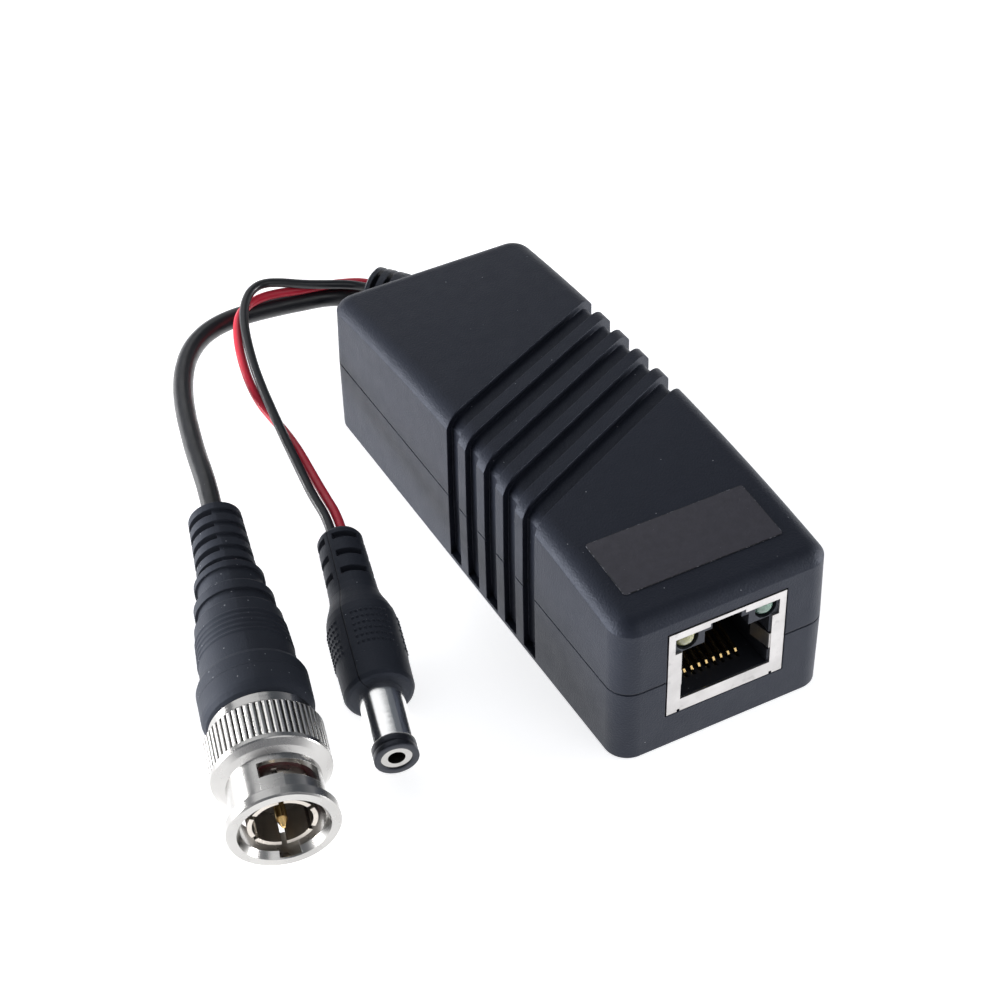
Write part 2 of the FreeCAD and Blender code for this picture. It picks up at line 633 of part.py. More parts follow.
def jack_shield():
    """Folded sheet can, open where the plug, the lamps and the latch are."""
    outer = jack_box("can_outer", "jack_width / 2", "0", "jack_length", "0", "jack_height")
    inner = jack_box("can_inner", "jack_width / 2 - shield_sheet", "shield_sheet",
                     "jack_length - shield_sheet", "shield_sheet", "jack_height - shield_sheet")
    openings = [
        jack_box("can_opening", "shield_opening_width / 2", "-shield_sheet", "2 * shield_sheet",
                 "socket_bottom", "window_bottom + shield_sheet"),
        jack_box("can_windows", "window_width / 2", "-shield_sheet", "2 * shield_sheet",
                 "window_bottom", "window_top"),
        jack_box("can_latch", "shield_slot_width / 2", "-shield_sheet", "2 * shield_sheet",
                 "window_top - shield_sheet", "latch_top"),
    ]
    for side in (-1, 1):
        middle = "%d * (shield_opening_width / 2 + notch_width / 2)" % side
        openings.append(box("can_notch_%s" % ("left" if side < 0 else "right"),
                            middle + " - notch_width / 2", middle + " + notch_width / 2",
                            FRONT + " - shield_sheet", FRONT + " + 2 * shield_sheet",
                            JACK_Z + " - shield_sheet", JACK_Z + " + notch_height"))
    can = cut("can", outer, [inner] + openings)
    tabs = [spring_tab(side) for side in (-1, 1)]
    return piece("jack_shield", join("Part::MultiFuse", "can_with_tabs", [can] + tabs))


def spring_tab(side):
    """Tab bent from the edge of the opening into the socket."""
    tab = doc.addObject("Part::Box", "tab_" + ("left" if side < 0 else "right"))
    bind(tab, Length="shield_sheet", Width="tab_length", Height="tab_height")
    turn = Rotation(Vector(0, 0, 1), side * size("tab_angle"))
    corner = Vector(size("shield_opening_width / 2 - shield_sheet / 2"), 0, 0)
    if side < 0:
        corner.x = -corner.x - size("shield_sheet")
    place = Vector(0, size(FRONT + " + shield_sheet / 2"), size(JACK_Z + " + tab_bottom"))
    tab.Placement = Placement(place + corner, turn)
    return tab


def contact_places():
    """Middle of each contact across the jack."""
    count = int(size("contact_count"))
    return ["%s * contact_pitch" % (index - (count - 1) / 2) for index in range(count)]


def jack_insert():
    """Moulded block with the socket, the stepped latch slot and the seats of lamps and contacts."""
    block = jack_box("insert_block", "jack_width / 2 - shield_sheet", "shield_sheet",
                     "jack_length - shield_sheet", "shield_sheet", "jack_height - shield_sheet")
    tools = [
        jack_box("socket", "socket_width / 2", "0", "socket_depth", "socket_bottom", "socket_top"),
        jack_box("latch_slot", "latch_width / 2", "0", "latch_depth", "socket_top - shield_sheet",
                 "latch_step"),
        jack_box("latch_roof", "latch_narrow_width / 2", "0", "latch_depth",
                 "latch_step - shield_sheet", "latch_top - shield_sheet"),
        jack_box("tab_room", "socket_width / 2 + tab_recess", "0", "tab_length + 2 * shield_sheet",
                 "tab_bottom - shield_sheet", "tab_bottom + tab_height + shield_sheet"),
    ]
    for side, name in ((-1, "left"), (1, "right")):
        tools.append(rod("lamp_seat_" + name, "lamp_radius + lamp_clearance", FRONT,
                         FRONT + " + lamp_front + lamp_length", "%d * lamp_centre_x" % side,
                         JACK_Z + " + lamp_centre_above"))
    for index, place in enumerate(contact_places()):
        reach = "contact_wire / 2 + contact_slot_gap"
        tools.append(box("contact_slot_%d" % index, "%s - (%s)" % (place, reach),
                         "%s + %s" % (place, reach),
                         FRONT + " + contact_tip_depth - 2 * contact_wire",
                         FRONT + " + contact_tail_depth",
                         JACK_Z + " + contact_floor", JACK_Z + " + socket_bottom + contact_wire"))
    return piece("jack_insert", cut("insert", block, tools))


def jack_contact(index, place):
    """Spring wire: a lower run, a front bend and an arm that rises to the rear."""
    body = new_body("contact_%d_body" % index)
    floor = JACK_Z + " + contact_floor"
    tip = FRONT + " + contact_tip_depth"
    end = FRONT + " + contact_end_depth"
    arm_end = JACK_Z + " + contact_end_above"
    bend = JACK_Z + " + contact_tip_above"
    tail = FRONT + " + contact_tail_depth"
    sketch = outline(body, "YZ_Plane", [
        (tail, floor), (tip + " + contact_wire / 2", floor),
        (tip + " - contact_wire / 2", floor + " + contact_wire"),
        (tip + " - contact_wire / 2", bend), (tip + " + contact_wire / 2", bend + " + contact_wire"),
        (end, arm_end), (end + " + contact_wire / 4", arm_end + " - contact_wire"),
        (tip + " + 1.5 * contact_wire", bend + " - contact_wire / 4"),
        (tip + " + 1.5 * contact_wire", floor + " + contact_wire"), (tail, floor + " + contact_wire"),
    ], offset=place)
    pad(body, sketch, "contact_wire", side="Symmetric")
    return piece("jack_contact_%d" % (index + 1), body)


def lamp(node, side):
    """Round-nosed lamp in its seat."""
    across = "%d * lamp_centre_x" % side
    up = JACK_Z + " + lamp_centre_above"
    front = FRONT + " + lamp_front + lamp_radius"
    stem = rod(node + "_stem", "lamp_radius", front, FRONT + " + lamp_front + lamp_length", across, up)
    nose = doc.addObject("Part::Sphere", node + "_nose")
    bind(nose, Radius="lamp_radius")
    for axis, text in zip("xyz", (across, front, up)):
        nose.setExpression("Placement.Base." + axis, formula(text))
    return piece(node, join("Part::MultiFuse", node + "_body", [stem, nose]))


# Circuit board and what stands on it


BOARD_TOP = JACK_Z


def circuit_board():
    board = box("board", "-board_width / 2", "board_width / 2", "-board_length / 2",
                "board_length / 2", BOARD_TOP + " - board_thickness", BOARD_TOP)
    return piece("circuit_board", board)


def transformer():
    """Ring core on the board with its turns in groups round it."""
    bottom = BOARD_TOP + " + winding_thickness"
    top = bottom + " + core_height"
    core_rod = rod("core_rod", "core_outer_radius", bottom, top, up="core_y", direction="Z")
    core_hole = rod("core_hole", "core_inner_radius", bottom + " - 1", top + " + 1", up="core_y",
                    direction="Z")
    core = cut("core", core_rod, [core_hole])
    piece("transformer_core", core)
    turns = []
    count = int(size("winding_count"))
    for index in range(count):
        turn = rod("turns_%d" % index, "core_outer_radius + winding_thickness", BOARD_TOP,
                   top + " + winding_thickness", up="core_y", direction="Z")
        turn.Angle = 0.7 * 360 / count
        turn.Placement.Rotation = Rotation(Vector(0, 0, 1), 360 / count * index)
        turns.append(turn)
    middle = rod("turns_hole", "core_inner_radius - winding_thickness", BOARD_TOP + " - 1",
                 top + " + 2", up="core_y", direction="Z")
    groups = cut("winding_groups", join("Part::MultiFuse", "winding_sectors", turns), [middle])
    winding = doc.addObject("Part::Cut", "winding")
    winding.Base = groups
    winding.Tool = core
    piece("transformer_winding", winding)


def small_components():
    top = BOARD_TOP
    piece("electrolytic_capacitor", rod("capacitor", "capacitor_radius", top,
                                        top + " + capacitor_height", "capacitor_x", "capacitor_y", "Z"))
    waist = "0.75 * inductor_radius"
    cheek = "0.2 * inductor_height"
    drum = [
        rod("drum_foot", "inductor_radius", top, "%s + %s" % (top, cheek),
            "inductor_x", "inductor_y", "Z"),
        rod("drum_waist", waist, top, top + " + inductor_height", "inductor_x", "inductor_y", "Z"),
        rod("drum_head", "inductor_radius", "%s + inductor_height - %s" % (top, cheek),
            top + " + inductor_height", "inductor_x", "inductor_y", "Z"),
    ]
    piece("drum_inductor", join("Part::MultiFuse", "drum", drum))
    piece("surge_arrester", rod("arrester", "arrester_radius", "-arrester_length / 2",
                                "arrester_length / 2", "arrester_y", top + " + arrester_radius", "X"))
    piece("resettable_fuse", rod("fuse", "fuse_radius", "fuse_x - fuse_thickness / 2",
                                 "fuse_x + fuse_thickness / 2", "fuse_y", top + " + fuse_radius", "X"))


# Moulded relief in the rear wall


def relief_frame():
    """Middle and direction of the relief's outer end."""
    angle = math.radians(size("grommet_angle"))
    bend = size("grommet_bend_radius")
    start = Vector(0, size(REAR + " + grommet_flange_thickness / 2"), size("seam_height"))
    forward = Vector(-math.sin(angle), math.cos(angle), 0)
    bend_end = start + Vector(-bend * (1 - math.cos(angle)), bend * math.sin(angle), 0)
    return bend_end, forward


def bend_tube(name, radius, first_angle, turn):
    """Stretch of the bend: a torus about an upright axis beside the relief."""
    tube = doc.addObject("Part::Torus", name)
    bind(tube, Radius1="grommet_bend_radius", Radius2=radius)
    tube.Angle3 = turn
    place = Vector(-size("grommet_bend_radius"), size(REAR + " + grommet_flange_thickness / 2"),
                   size("seam_height"))
    tube.Placement = Placement(place, Rotation(Vector(0, 0, 1), first_angle))
    return tube


def cable_grommet():
    """Neck in the wall between two flanges, a bend to the side and a slotted, tapered end."""
    wall_side = REAR + " - shell_wall - lip_clearance / 2"
    parts = [
        rod("relief_neck", "grommet_neck_radius", wall_side + " - grommet_flange_thickness / 2",
            REAR + " + grommet_flange_thickness / 2", up="seam_height"),
        rod("relief_inner_flange", "grommet_flange_radius",
            wall_side + " - grommet_flange_thickness", wall_side, up="seam_height"),
        rod("relief_outer_flange", "grommet_flange_radius", REAR,
            REAR + " + grommet_flange_thickness", up="seam_height"),
    ]
    bend_slots = []
    step = math.degrees(size("grommet_rib_pitch / grommet_bend_radius"))
    width = math.degrees(size("grommet_slot_width / grommet_bend_radius"))
    turn = size("grommet_angle")
    last = turn - step / 2
    while last - width > 2 * step:
        outer = bend_tube("bend_slot_outer", "grommet_radius + 0.5 * grommet_slot_depth",
                          last - width, width)
        inner = bend_tube("bend_slot_inner", "grommet_radius - grommet_slot_depth",
                          last - 2 * width, 3 * width)
        bend_slots.append(cut("bend_slot", outer, [inner]))
        last -= step
    bend = bend_tube("relief_bend", "grommet_radius", 0, turn)
    parts.append(cut("relief_ribbed_bend", bend, bend_slots) if bend_slots else bend)
    body = new_body("relief_end")
    corners = [("0", "0"), ("0", "grommet_radius")]
    ribs = int(size("grommet_length / grommet_rib_pitch"))
    for index in range(ribs):
        slot = "grommet_length - (%d + 0.6) * grommet_rib_pitch" % (ribs - index - 1)
        if size(slot + " - grommet_slot_width") < 0.2:
            continue
        corners += [
            (slot + " - grommet_slot_width", "grommet_radius"),
            (slot + " - grommet_slot_width", "grommet_radius - grommet_slot_depth"),
            (slot, "grommet_radius - grommet_slot_depth"), (slot, "grommet_radius"),
        ]
    corners += [
        ("grommet_length - 0.6 * grommet_slot_width", "grommet_radius"),
        ("grommet_length - 0.2 * grommet_slot_width", "(grommet_radius + grommet_end_radius) / 2"),
        ("grommet_length", "grommet_end_radius"), ("grommet_length", "0"),
    ]
    turned(body, corners)
    bend_end, forward = relief_frame()
    body.Placement = Placement(bend_end, Rotation(Vector(0, 0, 1), 90 + turn))
    parts.append(body)
    return piece("cable_grommet", join("Part::MultiFuse", "relief", parts))


jack_shield()
jack_insert()
for index, place in enumerate(contact_places()):
    jack_contact(index, place)
lamp("lamp_left", -1)
lamp("lamp_right", 1)
circuit_board()
transformer()
small_components()
cable_grommet()


# Frames of the two plugs: X runs forward along the plug, from its front face, and Z up


def plug_frame(name):
    """Placement of a plug that lies nose down on the surface."""
    tilt = math.radians(size("plug_tilt"))
    if name == "bayonet":
        height = size("flange_radius") * math.cos(tilt)
    else:
        height = size("grip_radius") * math.cos(tilt) - size("barrel_length") * math.sin(tilt)
    place = Vector(size(name + "_x"), size(name + "_y"), height + size("plug_floor_gap"))
    return Placement(place, Rotation(size(name + "_heading") - 90, size("plug_tilt"), 0))


BAYONET = plug_frame("bayonet")
POWER = plug_frame("power")


def plug_rod(name, radius, front, rear):
    """Round bar on the plug's axis between two stations behind its front face."""
    return rod(name, radius, "-(%s)" % rear, "-(%s)" % front, direction="X")


def plug_sector(name, radius, front, rear, start, turn):
    """Slice of a round bar on the plug's axis, turned from straight up towards the left."""
    item = doc.addObject("Part::Cylinder", name)
    bind(item, Radius=radius, Height="(%s) - (%s)" % (rear, front), Angle=turn)
    lying = Rotation(Vector(1, 0, 1), 180)
    item.Placement = Placement(Vector(-size(rear), 0, 0), lying * Rotation(Vector(0, 0, 1), size(start)))
    return item


def stations(*pairs):
    """Corners of a turned profile from pairs of station and radius formulas."""
    return [("-(%s)" % station, radius) for station, radius in pairs]


def placed(node, item, frame):
    """Export an object that is modelled in a plug's frame."""
    item.Placement = frame
    return piece(node, item)


# Bayonet plug


def bnc_coupling_sleeve():
    """Knurled sleeve with two bayonet slots, a front flange and a chamber for the spring."""
    body = new_body("coupling")
    blank = turned(body, stations(
        ("0", "mouth_radius"), ("0", "flange_radius - 0.2"), ("0.2", "flange_radius"),
        ("flange_thickness - 0.1", "flange_radius"), ("flange_thickness", "flange_radius - 0.1"),
        ("flange_thickness", "sleeve_radius"), ("sleeve_end", "sleeve_radius"),
        ("sleeve_end + 0.45", "(sleeve_radius + knurl_radius) / 2"),
        ("knurl_start - 0.7", "knurl_radius - 0.1"), ("knurl_start - 0.55", "knurl_radius"),
        ("knurl_end", "knurl_radius"), ("coupling_length - 0.2", "knurl_radius - 0.35"),
        ("coupling_length", "knurl_radius - 0.6"),
        ("coupling_length", "bearing_radius + bearing_clearance"),
        ("chamber_end", "bearing_radius + bearing_clearance"), ("chamber_end", "chamber_radius"),
        ("chamber_start", "chamber_radius"), ("chamber_start", "bore_radius"),
        ("0.9", "bore_radius"),
    ))
    half_tooth = "0.43 * 3.14159 * knurl_radius / knurl_count"
    rim = "knurl_radius + knurl_depth / 4"
    valley = outline(body, "YZ_Plane", [
        ("-(%s)" % half_tooth, rim), ("0", "knurl_radius - knurl_depth"), (half_tooth, rim),
    ], offset="-knurl_start")
    first = pocket(body, valley, "knurl_end - knurl_start", side="One side")
    if first.Shape.Volume > blank.Shape.Volume - 1e-3:
        raise RuntimeError("the knurl cuts nothing")
    knurl = body.newObject("PartDesign::PolarPattern", "knurl")
    knurl.Originals = [first]
    knurl.Axis = (plane(body, "X_Axis"), [""])
    knurl.Angle = 360
    bind(knurl, Occurrences="knurl_count")
    body.Tip = knurl
    doc.recompute()
    tools = []
    bosses = []
    for index in range(2):
        start = "slot_angle + %d" % (180 * index)
        entry = start + " + slot_turn - slot_entry_turn"
        tools.append(plug_sector("slot_pocket_%d" % index, "knurl_radius", "slot_rear - slot_pocket",
                                 "slot_rear", start, "slot_turn"))
        tools.append(plug_sector("slot_entry_%d" % index, "entry_radius", "-0.1",
                                 "slot_rear", entry, "slot_entry_turn"))
        bosses.append(plug_sector("entry_boss_%d" % index, "entry_boss_radius",
                                  "flange_thickness / 2", "slot_rear - slot_pocket", entry,
                                  "slot_entry_turn"))
    inside = plug_rod("entry_boss_core", "(entry_radius + sleeve_radius) / 2", "-1", "slot_rear")
    raised = cut("entry_bosses", join("Part::MultiFuse", "entry_boss_pair", bosses), [inside])
    blank = join("Part::MultiFuse", "coupling_raised", [body, raised])
    sleeve = cut("coupling_slotted", blank, tools)
    return placed("bnc_coupling_sleeve", sleeve, BAYONET)


def bnc_plug_body():
    """Turned body: seat of the gasket, bearing, snap ring groove, rear ring and crimp stem."""
    body = new_body("plug_core")
    turned(body, stations(
        ("collar_front", "contact_radius"), ("collar_front", "collar_radius"),
        ("chamber_start + 0.3", "collar_radius"), ("chamber_start + 0.3", "bearing_radius"),
        ("snap_ring_front", "bearing_radius"), ("snap_ring_front", "ring_groove_radius"),
        ("snap_ring_front + snap_ring_thickness", "ring_groove_radius"),
        ("snap_ring_front + snap_ring_thickness", "bearing_radius"),
        ("coupling_length + coupling_float", "bearing_radius"),
        ("coupling_length + coupling_float", "rear_ring_radius"),
        ("rear_ring_end", "rear_ring_radius"), ("rear_ring_end", "boot_seat_radius"),
        ("boot_seat_end", "boot_seat_radius"), ("boot_seat_end", "crimp_radius"),
        ("crimp_end", "crimp_radius"), ("crimp_end", "0"), ("contact_rear", "0"),
        ("contact_rear", "contact_radius"),
    ))
    return placed("bnc_plug_body", body, BAYONET)


def bnc_snap_ring():
    """Open ring in the body's groove that keeps the coupling sleeve on."""
    ring = plug_rod("snap_ring_disc", "snap_ring_radius", "snap_ring_front",
                    "snap_ring_front + snap_ring_thickness")
    middle = plug_rod("snap_ring_hole", "ring_groove_radius", "snap_ring_front - 1",
                      "snap_ring_front + snap_ring_thickness + 1")
    gap = plug_sector("snap_ring_gap", "2 * snap_ring_radius", "snap_ring_front - 1",
                      "snap_ring_front + snap_ring_thickness + 1", "170", "20")
    return placed("bnc_snap_ring", cut("snap_ring", ring, [middle, gap]), BAYONET)


def bnc_spring_washer():
    """Coned washer between the snap ring and the rear wall of the spring chamber."""
    body = new_body("spring_washer")
    inner = "bearing_radius + 0.17"
    outer = "chamber_radius - 0.15"
    front = "snap_ring_front + snap_ring_thickness"
    rear = "chamber_end - washer_gap"
    turned(body, stations(
        (front, inner), (rear + " - washer_sheet", outer), (rear, outer),
        (front + " + washer_sheet", inner),
    ))
    return placed("bnc_spring_washer", body, BAYONET)


def bnc_inner_parts():
    """Gasket, slotted outer contact, insulator and centre pin."""
    gasket = cut("gasket", plug_rod("gasket_disc", "collar_radius", "gasket_front", "collar_front"),
                 [plug_rod("gasket_hole", "contact_radius", "gasket_front - 1", "collar_front + 1")])
    placed("bnc_gasket", gasket, BAYONET)
    tube = plug_rod("contact_tube", "contact_radius", "contact_front", "contact_rear")
    tools = [plug_rod("contact_bore_rod", "contact_bore", "contact_front - 1", "contact_rear + 1")]
    for index in range(int(size("contact_slots"))):
        slot = doc.addObject("Part::Box", "contact_slot_%d" % index)
        bind(slot, Length="contact_slot_length + 1", Width="contact_slot_width",
             Height="contact_radius + 1")
        turn = Rotation(Vector(1, 0, 0), 360 * index / size("contact_slots"))
        corner = Vector(size("-contact_front - contact_slot_length"), size("-contact_slot_width / 2"), 0)
        slot.Placement = Placement(turn.multVec(corner), turn)
        tools.append(slot)
    placed("bnc_contact_sleeve", cut("contact", tube, tools), BAYONET)
    plastic = plug_rod("insulator_rod", "contact_bore", "dielectric_front", "contact_rear")
    pin_hole = plug_rod("insulator_hole", "pin_radius", "dielectric_front - 1", "contact_rear + 1")
    placed("bnc_dielectric", cut("insulator", plastic, [pin_hole]), BAYONET)
    pin = new_body("pin")
    turned(pin, stations(
        ("pin_tip", "0"), ("pin_tip", "pin_tip_radius"), ("pin_tip + pin_cone", "pin_radius"),
        ("contact_rear", "pin_radius"), ("contact_rear", "0"),
    ))
    placed("bnc_centre_pin", pin, BAYONET)


def boot_cone_radius_at(station):
    """Radius of the boot's cone at a station, as a formula."""
    share = "((%s) - boot_band_end) / (boot_cone_end - boot_band_end)" % station
    return "(boot_cone_radius + (boot_cone_end_radius - boot_cone_radius) * %s)" % share


def boot_relief_radius_at(station):
    """Radius of the boot's slotted end at a station, as a formula."""
    share = "((%s) - boot_small_step_end) / (boot_length - boot_small_step_end)" % station
    return "(boot_relief_radius + (boot_end_radius - boot_relief_radius) * %s)" % share


def bnc_boot():
    """Moulded boot: band, ribbed cone, two steps and a slotted relief."""
    corners = [
        ("boot_front", "boot_seat_radius"), ("boot_front", "boot_seat_radius + 0.5"),
        ("boot_front + 0.45", "boot_band_radius - 0.4"), ("boot_front + 1.1", "boot_band_radius - 0.1"),
        ("boot_front + 1.6", "boot_band_radius"), ("boot_band_end", "boot_band_radius"),
        ("boot_band_end + 0.5", "boot_band_radius - 0.2"),
        ("boot_band_end + 0.9", boot_cone_radius_at("boot_band_end + 0.9")),
    ]
    for index in range(int(size("boot_rib_count"))):
        middle = "boot_rib_first + %d * boot_rib_pitch" % index
        for shift, rise in (("- 0.26", "0"), ("- 0.1", "boot_rib_height"),
                            ("+ 0.1", "boot_rib_height"), ("+ 0.26", "0")):
            place = middle + " " + shift
            corners.append((place, boot_cone_radius_at(place) + " + " + rise))
    corners += [
        ("boot_cone_end", "boot_cone_end_radius"),
        ("boot_cone_end + 0.3", "boot_cone_end_radius - 0.2"),
        ("boot_cone_end + 0.5", "boot_step_radius - boot_neck_relief"),
        ("boot_step_start", "boot_step_radius - boot_neck_relief"),
        ("boot_step_start", "boot_step_radius"),
        ("boot_step_end - 0.35", "boot_step_radius"), ("boot_step_end", "boot_step_radius - 0.25"),
        ("boot_step_end + 0.3", "boot_small_step_radius - boot_neck_relief"),
        ("boot_small_step_start", "boot_small_step_radius - boot_neck_relief"),
        ("boot_small_step_start", "boot_small_step_radius"),
        ("boot_small_step_end - 0.3", "boot_small_step_radius"),
        ("boot_small_step_end", "boot_small_step_radius - 0.25"),
    ]
    for index in range(int(size("boot_slot_count"))):
        front = "boot_small_step_end + %d * boot_slot_pitch" % index
        rear = front + " + boot_slot_width"
        corners += [
            (front, boot_relief_radius_at(front) + " - boot_shallow_depth"),
            (rear, boot_relief_radius_at(rear) + " - boot_shallow_depth"),
            (rear, boot_relief_radius_at(rear)),
        ]
        if index < size("boot_slot_count") - 1:
            following = "boot_small_step_end + %d * boot_slot_pitch" % (index + 1)
            corners.append((following, boot_relief_radius_at(following)))
    corners += [
        ("boot_length - 0.3", "boot_end_radius"), ("boot_length", "boot_end_radius - 0.3"),
        ("boot_length", "0"), ("crimp_end", "0"), ("crimp_end", "crimp_radius"),
        ("boot_seat_end", "crimp_radius"), ("boot_seat_end", "boot_seat_radius"),
    ]
    body = new_body("boot")
    turned(body, stations(*corners))
    slices = []
    for index in range(int(size("boot_slot_count"))):
        front = "boot_small_step_end + %d * boot_slot_pitch" % index
        for side in (0, 180):
            slices.append(plug_sector(
                "boot_slot_%d_%d" % (index, side), "boot_small_step_radius + 1", front,
                front + " + boot_slot_width", "boot_slot_angle + %d" % side, "boot_slot_turn"))
    core = plug_rod("boot_slot_core", "boot_deep_radius", "boot_step_end", "boot_length + 1")
    deep = cut("boot_deep_slots", join("Part::MultiFuse", "boot_slot_slices", slices), [core])
    return placed("bnc_boot", cut("boot_slotted", body, [deep]), BAYONET)


# Power plug


def dc_plug_body():
    """Moulded grip that narrows in a hollow curve to a slotted relief."""
    body = new_body("power_grip")
    curve = []
    steps = 5
    for index in range(1, steps):
        share = index / steps
        ease = 0.5 + 0.5 * math.cos(math.pi * share)
        curve.append(("grip_end + %.3f * (relief_start - grip_end)" % share,
                      "relief_radius + %.3f * (grip_radius - relief_radius)" % ease))
    turned(body, stations(
        ("barrel_length", "barrel_radius"), ("barrel_length", "grip_radius - 0.7"),
        ("barrel_length + 0.2", "grip_radius - 0.3"), ("barrel_length + 0.7", "grip_radius - 0.08"),
        ("(barrel_length + grip_end) / 2", "grip_radius"), ("grip_end", "grip_radius"), *curve,
        ("relief_start", "relief_radius"), ("power_length - 0.6", "relief_end_radius"),
        ("power_length - 0.15", "relief_end_radius - 0.25"),
        ("power_length", "relief_end_radius - 0.6"), ("power_length", "0"),
        ("barrel_length + tip_length", "0"), ("barrel_length + tip_length", "barrel_collar_radius"),
        ("barrel_length + barrel_collar_inset", "barrel_collar_radius"),
        ("barrel_length + barrel_collar_inset", "barrel_radius"),
    ))
    slices = []
    for row in range(int(size("relief_slot_count"))):
        front = "relief_slot_first + %d * relief_slot_pitch" % row
        for quarter in range(4):
            slices.append(plug_sector(
                "relief_slot_%d_%d" % (row, quarter), "relief_radius + 1", front,
                front + " + relief_slot_width", "relief_slot_angle + %d" % (90 * quarter),
                "relief_slot_turn"))
    core = plug_rod("relief_slot_core", "relief_end_radius - relief_slot_depth", "grip_end",
                    "power_length + 1")
    slots = cut("relief_slots", join("Part::MultiFuse", "relief_slices", slices), [core])
    return placed("dc_plug_body", cut("power_body", body, [slots]), POWER)


def dc_plug_parts():
    """Barrel, black tip insulator that lines it, and the inner contact with the bore."""
    seat = "barrel_length + tip_length"
    lining = "(barrel_radius + tip_inner_radius) / 2"
    collar = plug_rod("barrel_collar", "barrel_collar_radius", "barrel_length + barrel_collar_inset",
                      seat)
    tube = plug_rod("barrel_rod", "barrel_radius", "tip_length", seat)
    barrel = cut("barrel", join("Part::MultiFuse", "barrel_solid", [tube, collar]),
                 [plug_rod("barrel_bore", lining, "tip_length - 1", seat + " + 1")])
    placed("dc_barrel", barrel, POWER)
    ring = plug_rod("tip_ring", "barrel_radius - tip_ring_inset", "0", "tip_length")
    sleeve = plug_rod("tip_sleeve", lining, "0", seat)
    groove = cut("tip_groove", plug_rod("tip_groove_outer", "barrel_radius + 1",
                                        "0.45 * tip_length", "0.55 * tip_length"),
                 [plug_rod("tip_groove_inner", "barrel_radius - tip_ring_inset - 0.12", "0",
                               "tip_length")])
    bore = plug_rod("tip_bore", "tip_inner_radius", "-1", seat + " + 1")
    tip = cut("tip", join("Part::MultiFuse", "tip_solid", [ring, sleeve]), [bore, groove])
    placed("dc_tip_insulator", tip, POWER)
    rim = "0.15"
    spring = cut("inner_contact", plug_rod("inner_contact_rod", "tip_inner_radius", rim, seat),
                 [plug_rod("inner_contact_bore", "socket_radius", "-1", "socket_bore_depth")])
    placed("dc_inner_contact", spring, POWER)


# Cords


def cord_path(points, node):
    """Wire of straight runs and tangent arcs through the points; prints its radii."""
    edges = []
    start = points[0]
    radii = []
    for index in range(1, len(points) - 1):
        corner = points[index]
        back = points[index - 1] - corner
        ahead = points[index + 1] - corner
        turn = math.pi - back.getAngle(ahead)
        reach = 0.45 * min(back.Length, ahead.Length)
        radii.append(reach / math.tan(turn / 2))
        back.normalize()
        ahead.normalize()
        first = corner + back * reach
        last = corner + ahead * reach
        inward = (back + ahead).normalize()
        bulge = radii[-1] / math.cos(turn / 2) - radii[-1]
        edges.append(Part.LineSegment(start, first).toShape())
        edges.append(Part.Arc(first, corner + inward * bulge, last).toShape())
        start = last
    edges.append(Part.LineSegment(start, points[-1]).toShape())
    print(node, "radii:", " ".join("%.1f" % radius for radius in radii))
    return Part.Wire(edges)


def cord(node, diameter, points):
    """Tube along the path; its volume has to be its section times its length."""
    path = cord_path(points, node)
    run = points[1] - points[0]
    circle = Part.Wire(Part.Circle(points[0], run, size(diameter) / 2).toShape())
    shape = path.makePipeShell([circle], True, False)
    expected = math.pi * size(diameter) ** 2 / 4 * path.Length
    print(node, "length %.1f" % path.Length, "volume %.4f of expected" % (shape.Volume / expected))
    item = doc.addObject("Part::Feature", node)
    item.Shape = shape
    return piece(node, item)


def relief_exit(side, rise):
    """Place and direction where a cord leaves the relief."""
    bend_end, forward = relief_frame()
    across = Vector(forward.y, -forward.x, 0)
    end = bend_end + forward * size("grommet_length")
    return end + across * size(side) + Vector(0, 0, size(rise)), forward


def free_cord(node, diameter, route, exit_place, exit_run, frame, length, spread, plug_run):
    """Cord from the relief to the rear end of its plug."""
    start, forward = relief_exit(*exit_place)
    along = frame.Rotation.multVec(Vector(-1, 0, 0))
    end = frame.multVec(Vector(-size(length), size(spread), 0))
    points = [start, start + forward * size(exit_run)]
    points += [Vector(*place) for place in route]
    points += [end + along * size(plug_run), end]
    return cord(node, diameter, points)


def inner_lead(node, diameter, across):
    """Stripped end that runs from the relief down onto the board."""
    inner_face = REAR + " - shell_wall - lip_clearance / 2 - grommet_flange_thickness"
    start = Vector(size(across), size(inner_face), size("seam_height"))
    corner = start - Vector(0, size("inner_reach"), 0)
    end = Vector(corner.x, corner.y, size(BOARD_TOP))
    return cord(node, diameter, [start, corner, end])


bnc_coupling_sleeve()
bnc_plug_body()
bnc_snap_ring()
bnc_spring_washer()
bnc_inner_parts()
bnc_boot()
dc_plug_body()
dc_plug_parts()
doc.recompute()
free_cord("coax_cable", "coax_diameter", COAX_ROUTE, ("coax_side", "coax_rise"), "coax_exit_run",
          BAYONET, "boot_length", "0", "coax_plug_run")
free_cord("dc_wire_black", "lead_diameter", BLACK_ROUTE, ("black_side", "black_rise"),
          "lead_exit_run", POWER, "power_length", "-lead_spread / 2", "lead_plug_run")
free_cord("dc_wire_red", "lead_diameter", RED_ROUTE, ("red_side", "red_rise"), "lead_exit_run",
          POWER, "power_length", "lead_spread / 2", "lead_plug_run")
inner_lead("coax_inner_end", "inner_coax_diameter", "-inner_spacing")
inner_lead("dc_inner_end_black", "inner_lead_diameter", "0")
inner_lead("dc_inner_end_red", "inner_lead_diameter", "inner_spacing")

